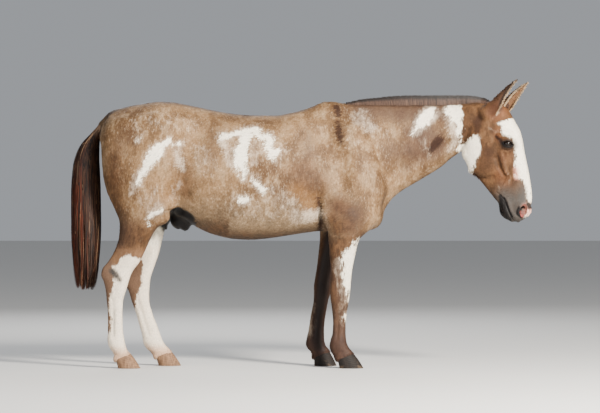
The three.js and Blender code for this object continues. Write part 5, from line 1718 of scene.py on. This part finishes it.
def make_ribbons(name, paths, wides, faces_out, marks, map_at, nodes=()):
    """Flat tapering strands. Paths are strands x steps x 3; wides are strands x steps."""
    count, steps, _ = paths.shape
    along = np.gradient(paths, axis=1)
    across = unit(np.cross(along, faces_out) + 1e-9)
    half = across * (wides / 2)[..., None]
    points = np.stack([paths - half, paths + half], 2).reshape(-1, 3)
    ring = 2 * np.arange(steps - 1)
    triangles = halves(np.stack([ring, ring + 1, ring + 3, ring + 2], 1))
    faces = (triangles[None] + 2 * steps * np.arange(count)[:, None, None]).reshape(-1, 3)
    obj = mesh_object(name, points * MM, faces, HAIR)
    for key, value in marks.items():
        set_marks(obj, {key: np.repeat(np.broadcast_to(value, (count, steps)).ravel(), 2)})
    step = np.arange(2 * steps)
    set_map(obj.data, map_at, np.stack([step % 2 - 0.5, step // 2 / (steps - 1) - 0.5], 1) * STRAND_ON_MAP)
    finish_piece(obj, nodes)
    print(name, len(obj.data.polygons), "triangles")


def nearest_map(points):
    """The unwrapped place of the skin's nearest triangle, for roots given in the straight mule."""
    low, high = points.min(0) - 60, points.max(0) + 60
    near = np.flatnonzero(((skin_centres > low) & (skin_centres < high)).all(1))
    found = np.empty(len(points), int)
    for part in np.array_split(np.arange(len(points)), max(1, len(points) // 500)):
        gap = ((points[part, None] - skin_centres[near][None]) ** 2).sum(2)
        found[part] = near[gap.argmin(1)]
    return skin_map[found].mean(1)


# %% Mane
mane_line = curve([
    (262, 1506), (290, 1513), (334, 1524), (390, 1531), (447, 1536), (504, 1542), (620, 1548),
    (904, 1548), (960, 1545), (1010, 1539), (1036, 1529), (1052, 1518),
])
MANE_BLADES = 12000
MANE_FROM, MANE_TO = 262, 1052
mane_x = rng.uniform(MANE_FROM, MANE_TO, MANE_BLADES)
mane_y = rng.uniform(-1, 1, MANE_BLADES)
mane_steps = np.linspace(0, 1, 4)[None]
mane_root = back_line(mane_x) - 9 - 3 * mane_y**2
mane_tip = mane_line(mane_x) + rng.normal(-2, 2.2, MANE_BLADES) - 5 * mane_y**2
clump = 3 * np.sin(mane_x / 4.1 + 2 * np.sin(mane_x / 31))
lean = -7 + 3 * np.sin(mane_x / 47) + rng.normal(0, 2.5, MANE_BLADES)
lean = lean + clump + 22 * ease((mane_x - 1000) / 52)
mane_path = np.stack([
    mane_x[:, None] + lean[:, None] * mane_steps**1.6,
    mane_y[:, None] * (10 + 4 * mane_steps) * (1 - 0.3 * mane_steps**3),
    lerp(mane_root[:, None], mane_tip[:, None], mane_steps),
], 2)
mane_side = np.where(mane_y < 0, -1, 1)
mane_out = np.stack([np.sin(turn(mane_x)), mane_side * np.cos(turn(mane_x)), 0 * mane_x], 1)
mane_wide = 2.4 * (1 - 0.7 * mane_steps**2) * np.ones((MANE_BLADES, 1))
mane_turned = place_turned(mane_path.reshape(-1, 3)).reshape(mane_path.shape) / MM
poll_white = patch(np.hypot(mane_x - 1010, (mane_y + 0.4) * 26) - 26, 14)
make_ribbons("mane_hair", mane_turned, mane_wide, mane_out[:, None], {
    "tint": 0.2, "along": mane_steps, "mane": 1.0, "vary": rng.normal(0, 0.5, (MANE_BLADES, 1)),
    "frost": poll_white[:, None] * (1 - mane_steps) * 0.8 + 0.12,
}, nearest_map(mane_path[:, 0]), ("mane",))

# %% Tail
tail_edges = [
    (440, -1284, -1178), (500, -1293, -1165), (610, -1302, -1154), (781, -1311, -1143),
    (1000, -1311, -1146), (1151, -1300, -1152), (1237, -1274, -1152), (1311, -1228, -1145),
    (1351, -1188, -1128), (1385, -1150, -1100), (1415, -1118, -1062),
]
tail_middle = curve([(z, (outer + inner) / 2) for z, outer, inner in tail_edges])
tail_half = curve([(z, (inner - outer) / 2) for z, outer, inner in tail_edges])
dock_middle = curve([(z, x) for x, _, z, _ in DOCK[::-1]])
dock_radius = curve([(z, radius) for _, _, z, radius in DOCK[::-1]])


def make_tail(name, count, roots, tips, reaches, width, nodes=()):
    steps, locks = 20, 90
    share = np.linspace(0, 1, steps)[None] ** 1.1
    angle = rng.uniform(0, 2 * math.pi, count)[:, None]
    lock_angle = np.sort(rng.uniform(0, 2 * math.pi, locks))
    gap = np.abs((angle - lock_angle[None] + math.pi) % (2 * math.pi) - math.pi)
    lock = gap.argmin(1)
    lock_way = rng.uniform(-1, 1, (3, locks))[:, lock][..., None]
    to_lock = (lock_angle[lock][:, None] - angle + math.pi) % (2 * math.pi) - math.pi
    root = lerp(roots[0], roots[1], rng.random(count) ** 0.8)[:, None]
    tip_share = np.clip(rng.random(count) ** 2.2 * 0.7 + 0.3 * np.abs(lock_way[0, :, 0]), 0, 1)
    tip = lerp(tips[0], tips[1], tip_share)[:, None]
    reach = lerp(reaches[0], reaches[1], rng.random(count) ** 0.6)[:, None] * (1 - 0.05 * lock_way[1] * share)
    z = lerp(root, tip, share)
    settled = ease((root - z) / 120)
    wave = 0.1 * np.sin(4 * share + 6 * lock_way[2]) * share + 0.03 * np.sin(11 * share + 7 * angle)
    around = angle + 0.85 * to_lock * ease(share / 0.7) + wave
    half = tail_half(z) * reach
    on_dock = np.maximum(z, DOCK[-1][2])
    start = dock_radius(on_dock)
    x = lerp(dock_middle(on_dock) + start * np.cos(angle), tail_middle(z) + half * np.cos(around), settled)
    y = lerp(start * np.sin(angle), half * 0.8 * np.sin(around), settled)
    paths = np.stack([x, y, z], 2)
    out = np.stack([np.cos(around), np.sin(around), 0 * around], 2)
    taper = np.interp(share, [0, 0.1, 0.75, 1], [0.5, 1, 0.85, 0.15])
    wides = width * taper * rng.uniform(0.6, 1.3, (count, 1))
    red_side = 0.45 - 0.3 * np.cos(angle[:, 0] + 0.5) + 0.35 * lock_way[1, :, 0]
    tint = np.clip(red_side + rng.normal(0, 0.2, count), 0, 1)[:, None] * (0.5 + 0.5 * ease((1250 - z) / 300))
    pale_strand = (rng.random((count, 1)) < 0.05) * 0.8
    dock_hair = 0.55 * (1 - ease((root - z) / 90)) * (root > 1280) * (np.cos(angle) < 0.4)
    make_ribbons(name, paths, wides, out, {
        "tint": tint, "along": share, "mane": 0.0, "vary": rng.normal(0, 0.4, (count, 1)),
        "frost": np.maximum(pale_strand, dock_hair),
    }, nearest_map(paths[:, 0]), nodes)


make_tail("tail_outer", 4900, (1130, 1405), (437, 580), (0.72, 1.0), 3.0, ("tail",))
make_tail("tail_inner", 2600, (1110, 1330), (438, 600), (0.1, 0.72), 3.4)
make_tail("tail_short", 2000, (1150, 1400), (560, 1150), (0.85, 1.02), 2.4)

# %% [markdown]
# ## Eyes and hooves
#
# The eye is a ball with a bulging clear front, a brown iris and the wide level pupil of a mule.
# The hooves are lofted in thin rings, because horn grows in rings that can be seen and felt.

# %% Eyes
def eye_material():
    t = Tree("eye")
    across, up = t.mark("across"), t.mark("up")
    radius = (across * across + up * up).power(0.5)
    pupil = 1 - ((across * 0.1) * (across * 0.1) + (up * 0.19) * (up * 0.19)).step(0.8, 1.15)
    rays = t.noise(420, 2.0)
    iris = t.mix(tone(15, 9, 6), tone(30, 18, 11), rays)
    t.colour = t.mix(iris, tone(14, 9, 7), radius.step(11, 15))
    t.paint(28, 20, 17, radius.step(17.5, 20.5))
    t.paint(6, 5, 6, pupil)
    return t.feed(Base_Color=t.colour, Roughness=0.06, Specular_IOR_Level=0.3,
                  Normal=t.bump(rays, 0.05, 0.0002))


EYE = eye_material()


def make_eye(side_name, side):
    rings, sides = 40, 64
    polar = np.linspace(0, math.pi, rings)[:, None]
    around = np.linspace(0, 2 * math.pi, sides, endpoint=False)[None]
    radius = EYE_RADIUS - 0.3 + 0.9 * np.exp(-((polar / 0.42) ** 2))
    out, flat = radius * np.cos(polar), radius * np.sin(polar)
    local = np.stack([out + 0 * around, flat * np.cos(around), flat * np.sin(around)], 2)
    local = np.concatenate([local[:1, 0], local[1:-1].reshape(-1, 3), local[-1:, 0]])
    placed = local[:, :1] * EYE_OUT + local[:, 1:2] * EYE_LONG + local[:, 2:] * EYE_TALL
    down, forward, away = (placed + EYE_PLACE).T
    x, z = from_head(down, forward)
    points = np.stack([x, side * away, z], 1)
    faces = []
    for i in range(sides):
        j = (i + 1) % sides
        faces.append((0, 1 + i, 1 + j))
        last = 1 + (rings - 3) * sides
        faces.append((last + i, len(points) - 1, last + j))
    for ring in range(rings - 3):
        for i in range(sides):
            a, b = 1 + ring * sides + i, 1 + ring * sides + (i + 1) % sides
            faces += [(a, a + sides, b + sides), (a, b + sides, b)]
    faces = np.array(faces)
    corners = points[faces[sides * 4]]
    outward = np.cross(corners[1] - corners[0], corners[2] - corners[0]) @ (corners.mean(0) - points.mean(0))
    if outward < 0:
        faces = faces[:, ::-1]
    obj = mesh_object("eyeball_" + side_name, place_turned(points), faces, EYE)
    set_marks(obj, {"across": local[:, 1], "up": local[:, 2]})
    finish_piece(obj, ("eye_" + side_name,))


make_eye("right", -1)
make_eye("left", 1)


# %% [markdown]
# ## Lashes and feelers
#
# Stiff lashes stand along the upper lid, and long thin feelers grow from the lips and chin. They
# could be drawn one by one, but they are one shape, repeated over places that are worked out
# from the head. Geometry Nodes put a bent cone on each place, pointing the way it grows, and the
# result is turned into a plain mesh.

# %% Bristles by Geometry Nodes
def bristle_tree(material):
    tree = bpy.data.node_groups.new("bristles", "GeometryNodeTree")
    inputs = {"Geometry": "Geometry", "Thickness": "Float", "Bend": "Float", "Seed": "Int"}
    sockets = [tree.interface.new_socket(title, in_out="INPUT", socket_type="NodeSocket" + kind)
               for title, kind in inputs.items()]
    tree.interface.new_socket("Geometry", in_out="OUTPUT", socket_type="NodeSocketGeometry")

    def add(kind, settings=None, values=None):
        node = tree.nodes.new(kind)
        for name, value in (settings or {}).items():
            setattr(node, name, value)
        for name, value in (values or {}).items():
            if isinstance(value, bpy.types.NodeSocket):
                tree.links.new(value, node.inputs[name])
            else:
                node.inputs[name].default_value = value
        return node

    def kept(name, kind):
        return add("GeometryNodeInputNamedAttribute", {"data_type": kind}, {"Name": name}).outputs[0]

    def times(a, b):
        return add("ShaderNodeMath", {"operation": "MULTIPLY"}, {0: a, 1: b}).outputs[0]

    start = add("NodeGroupInput")
    cone = add("GeometryNodeMeshCone", None, {
        "Vertices": 4, "Side Segments": 5, "Radius Top": 0.0005, "Radius Bottom": start.outputs["Thickness"],
        "Depth": 1.0,
    })
    height = add("ShaderNodeSeparateXYZ", None, {0: add("GeometryNodeInputPosition").outputs[0]}).outputs[2]
    bend = times(times(height, height), start.outputs["Bend"])
    offset = add("ShaderNodeCombineXYZ", None, {0: bend}).outputs[0]
    bent = add("GeometryNodeSetPosition", None, {"Geometry": cone.outputs["Mesh"], "Offset": offset})
    aim = add("FunctionNodeAlignRotationToVector", {"axis": "Z"}, {"Vector": kept("way", "FLOAT_VECTOR")})
    roll = add("FunctionNodeAlignRotationToVector", {"axis": "X", "pivot_axis": "Z"},
               {"Rotation": aim.outputs[0], "Vector": kept("curl", "FLOAT_VECTOR")})
    limits = {2: 0.75, 3: 1.2, "Seed": start.outputs["Seed"]}
    chance = add("FunctionNodeRandomValue", {"data_type": "FLOAT"}, limits)
    placed = add("GeometryNodeInstanceOnPoints", None, {
        "Points": start.outputs["Geometry"], "Instance": bent.outputs[0], "Rotation": roll.outputs[0],
        "Scale": times(kept("length", "FLOAT"), chance.outputs[1]),
    })
    real = add("GeometryNodeRealizeInstances", None, {"Geometry": placed.outputs[0]})
    dressed = add("GeometryNodeSetMaterial", None, {"Geometry": real.outputs[0], "Material": material})
    add("NodeGroupOutput", None, {0: dressed.outputs[0]})
    return tree, [socket.identifier for socket in sockets[1:]]


BRISTLES, BRISTLE_INPUTS = bristle_tree(HAIR)


def make_bristles(name, places, length, thickness, bend, seed):
    """Bristles on both sides. `places` gives roots, ways and curls for one side of the straight mule."""
    roots, ways, curls = (np.concatenate(parts) for parts in zip(places(-1), places(1)))
    foot = place_turned(roots)
    mesh = bpy.data.meshes.new(name)
    mesh.from_pydata(foot.tolist(), [], [])
    for title, values in (("way", ways), ("curl", curls)):
        turned_way = (place_turned(roots + unit(values)) - foot).astype(np.float32)
        mesh.attributes.new(title, "FLOAT_VECTOR", "POINT").data.foreach_set("vector", turned_way.ravel())
    obj = add_object(name, mesh)
    set_marks(obj, {"length": np.full(len(roots), length * MM)})
    modifier = obj.modifiers.new("bristles", "NODES")
    modifier.node_group = BRISTLES
    for identifier, value in zip(BRISTLE_INPUTS, (thickness, bend, seed)):
        modifier[identifier] = value
    evaluated = obj.evaluated_get(bpy.context.evaluated_depsgraph_get())
    obj_mesh = bpy.data.meshes.new_from_object(evaluated)
    obj.modifiers.clear()
    obj.data = obj_mesh
    per_bristle = len(obj_mesh.vertices) // len(roots)
    step = np.arange(per_bristle)
    spread = np.stack([step % 4 / 3 - 0.5, step / per_bristle - 0.5], 1) * STRAND_ON_MAP
    set_map(obj_mesh, nearest_map(roots), spread)
    finish_piece(obj)
    print(name, len(roots), "bristles,", len(obj_mesh.polygons), "faces")


def head_ways(ways, side):
    """Directions given as down, forward and out, in the straight mule's frame."""
    down, forward, out = ways.T
    x, z = down * SLANT[0] + forward * SLANT[1], forward * SLANT[0] - down * SLANT[1]
    return np.stack([x, side * out, z], 1)


# %% Lashes
def lash_places(side, count=44):
    t = np.linspace(-0.82, 0.86, count) + rng.normal(0, 0.02, count)
    radius = (SLIT_HALF_LENGTH**2 + SLIT_UPPER**2) / (2 * SLIT_UPPER)
    long = t * SLIT_HALF_LENGTH
    tall = np.sqrt(radius**2 - long**2) - (radius - SLIT_UPPER) + 1.2
    out = np.sqrt(LID_RADIUS**2 - long**2 - tall**2) - 0.8
    local = out[:, None] * EYE_OUT + long[:, None] * EYE_LONG + tall[:, None] * EYE_TALL + EYE_PLACE
    x, z = from_head(local[:, 0], local[:, 1])
    way = EYE_OUT * 0.8 + EYE_TALL * 0.1 + EYE_LONG * (0.25 + 0.7 * t[:, None])
    way = way + rng.normal(0, 0.07, (count, 3))
    curl = np.tile(EYE_TALL, (count, 1))
    return np.stack([x, side * local[:, 2], z], 1), head_ways(way, side), head_ways(curl, side)


make_bristles("lashes", lash_places, 15.0, 0.03, 0.35, 3)


# %% Feelers
# Lips, chin, nostril and below the eye: from and to down the face, from and to forward, how many
FEELER_AREAS = [
    (590, 648, -6, 14, 14), (556, 646, -66, -46, 20), (560, 600, 10, 50, 8), (266, 282, 36, 66, 5),
]


def feeler_places(side):
    places = np.concatenate([
        np.stack([rng.uniform(a, b, count), rng.uniform(c, d, count)], 1)
        for a, b, c, d, count in FEELER_AREAS
    ])
    out = np.array([side_out(down, forward) for down, forward in places]) - 1.5
    x, z = from_head(places[:, 0], places[:, 1])
    way = np.array((0.45, -0.1, 0.85)) + rng.normal(0, 0.2, (len(places), 3))
    curl = np.tile((1.0, 0.2, 0.0), (len(places), 1))
    return np.stack([x, side * out, z], 1), head_ways(way, side), head_ways(curl, side)


make_bristles("feelers", feeler_places, 30.0, 0.008, 0.3, 5)


# %% Hooves
def hoof_material(name, dark, pale, band):
    t = Tree(name)
    grain = t.noise(60, 3.0, (2.0, 2.0, 0.25))
    patches = t.noise(26, 3.0)
    rings = t.mark("rings")
    t.colour = t.mix(t.mix(dark, pale, grain.step(0.3, 0.75)), band, rings * 0.2)
    t.paint(112, 92, 72, (patches - t.mark("height") * 0.35).step(0.42, 0.62) * 0.4)
    return t.feed(Base_Color=t.colour, Roughness=0.6 + grain * 0.2, Specular_IOR_Level=0.25,
                  Normal=t.bump(grain * 0.5 + rings * 0.2, 0.35, 0.0008))


DARK_HORN = hoof_material("dark_horn", tone(16, 13, 12), tone(36, 29, 25), tone(54, 45, 38))
PALE_HORN = hoof_material("pale_horn", tone(92, 66, 48), tone(146, 112, 84), tone(170, 138, 108))


RING_PACE = 46


def make_hoof(name, hoof, material):
    sides, rings = 72, 44
    angle = np.linspace(0, 2 * math.pi, sides, endpoint=False)
    cosine, sine = np.cos(angle), np.sin(angle)
    along = np.where(cosine < 0, -np.abs(cosine) ** 0.7, cosine)
    rows, ring_mark, height_mark = [], [], []
    levels = [(0, 0.86), (0, 0.965), (0.012, 0.99), (0.03, 1.0)]
    levels += [(t, 1.0) for t in np.linspace(0.06, 0.97, rings)] + [(1, 0.985), (1, 0.9), (0.97, 0.78)]
    for t, shape in levels:
        growth = 0.5 * math.sin(RING_PACE * t) * (0.05 < t < 0.96)
        toe = lerp(hoof["toe"], hoof["top_toe"], t)
        heel = lerp(hoof["heel"], hoof["top_heel"] + 12, t)
        width = lerp(52, 44, t) + growth
        middle = (toe + heel) / 2
        heel_cleft = 7 * np.exp(-((angle - math.pi) / 0.22) ** 2) * (1 - 0.3 * t)
        x = middle + ((toe - heel) / 2 + growth) * along * shape + heel_cleft
        y = hoof["out"] + width * sine * (1 - 0.06 * cosine) * shape
        share = (x - hoof["top_heel"]) / (hoof["top_toe"] - hoof["top_heel"])
        z = t * lerp(HEEL_HEIGHT, TOE_HEIGHT, share)
        rows.append(np.stack([x, y, z], 1))
        ring_mark.append(np.full(sides, 0.5 + 0.5 * math.sin(RING_PACE * t)))
        height_mark.append(np.full(sides, t))
    points = np.concatenate(rows + [rows[0].mean(0)[None], rows[-1].mean(0)[None]])
    faces = []
    last = len(rows) - 1
    for i in range(sides):
        j = (i + 1) % sides
        for ring in range(last):
            a, b = ring * sides + i, ring * sides + j
            faces += [(a, b, b + sides), (a, b + sides, a + sides)]
        faces.append((len(points) - 2, j, i))
        faces.append((len(points) - 1, last * sides + i, last * sides + j))
    obj = mesh_object("horn_" + name, points * MM, np.array(faces), material)
    set_marks(obj, {
        "rings": np.concatenate(ring_mark + [[0.5, 0.5]]), "height": np.concatenate(height_mark + [[0, 1]]),
    })
    finish_piece(obj, ("hoof_" + name,))


for hoof_name, hoof in HOOVES.items():
    make_hoof(hoof_name, hoof, PALE_HORN if hoof_name.startswith("hind") else DARK_HORN)

# %% Floor, light and camera
floor_mesh = bpy.data.meshes.new("floor")
floor_mesh.from_pydata([(-30, -30, 0), (30, -30, 0), (30, 30, 0), (-30, 30, 0)], [], [(0, 1, 2, 3)])
floor_mesh.materials.append(Tree("floor").feed(Base_Color=(0.62, 0.61, 0.59, 1), Roughness=0.9))
floor = add_object("floor", floor_mesh)
MIDDLE = Vector((0, 0, 0.9))


def area_light(name, place, size, power, colour):
    light = bpy.data.lights.new(name, "AREA")
    light.shape = "DISK"
    light.size = size
    light.energy = power
    light.color = colour
    obj = add_object(name, light)
    obj.location = place
    obj.rotation_euler = (MIDDLE - Vector(place)).to_track_quat("-Z", "Y").to_euler()


SKY = (0.95, 0.97, 1.0)
area_light("key", (3.6, -5.2, 4.2), 1.5, 1750, (1.0, 0.95, 0.87))
area_light("fill", (-4.5, -5.0, 3.0), 4.0, 150, SKY)
area_light("back", (-1.0, 5.5, 4.2), 4.0, 220, SKY)
world = bpy.data.worlds.new("world")
bpy.context.scene.world = world
world.use_nodes = True
background = world.node_tree.nodes["Background"].inputs
background["Color"].default_value = (0.86, 0.9, 0.96, 1)
background["Strength"].default_value = 0.4

# The photograph's view: its width and its focal length in pixels, and how far the camera looks down
PHOTO_WIDTH, FOCAL_LENGTH = 600, 3508.8
CAMERA_PLACE, CAMERA_DIP = (-0.0085, -20.0, 1.2), 0.816
camera_data = bpy.data.cameras.new("camera")
camera_data.sensor_width = 36
camera_data.lens = camera_data.sensor_width * FOCAL_LENGTH / PHOTO_WIDTH
camera_data.clip_end = 100
camera = add_object("camera", camera_data)
camera.location = CAMERA_PLACE
camera.rotation_euler = (math.radians(90 - CAMERA_DIP), 0, 0)
bpy.context.scene.camera = camera
print("lights:", len(bpy.data.lights), "camera at", CAMERA_PLACE)
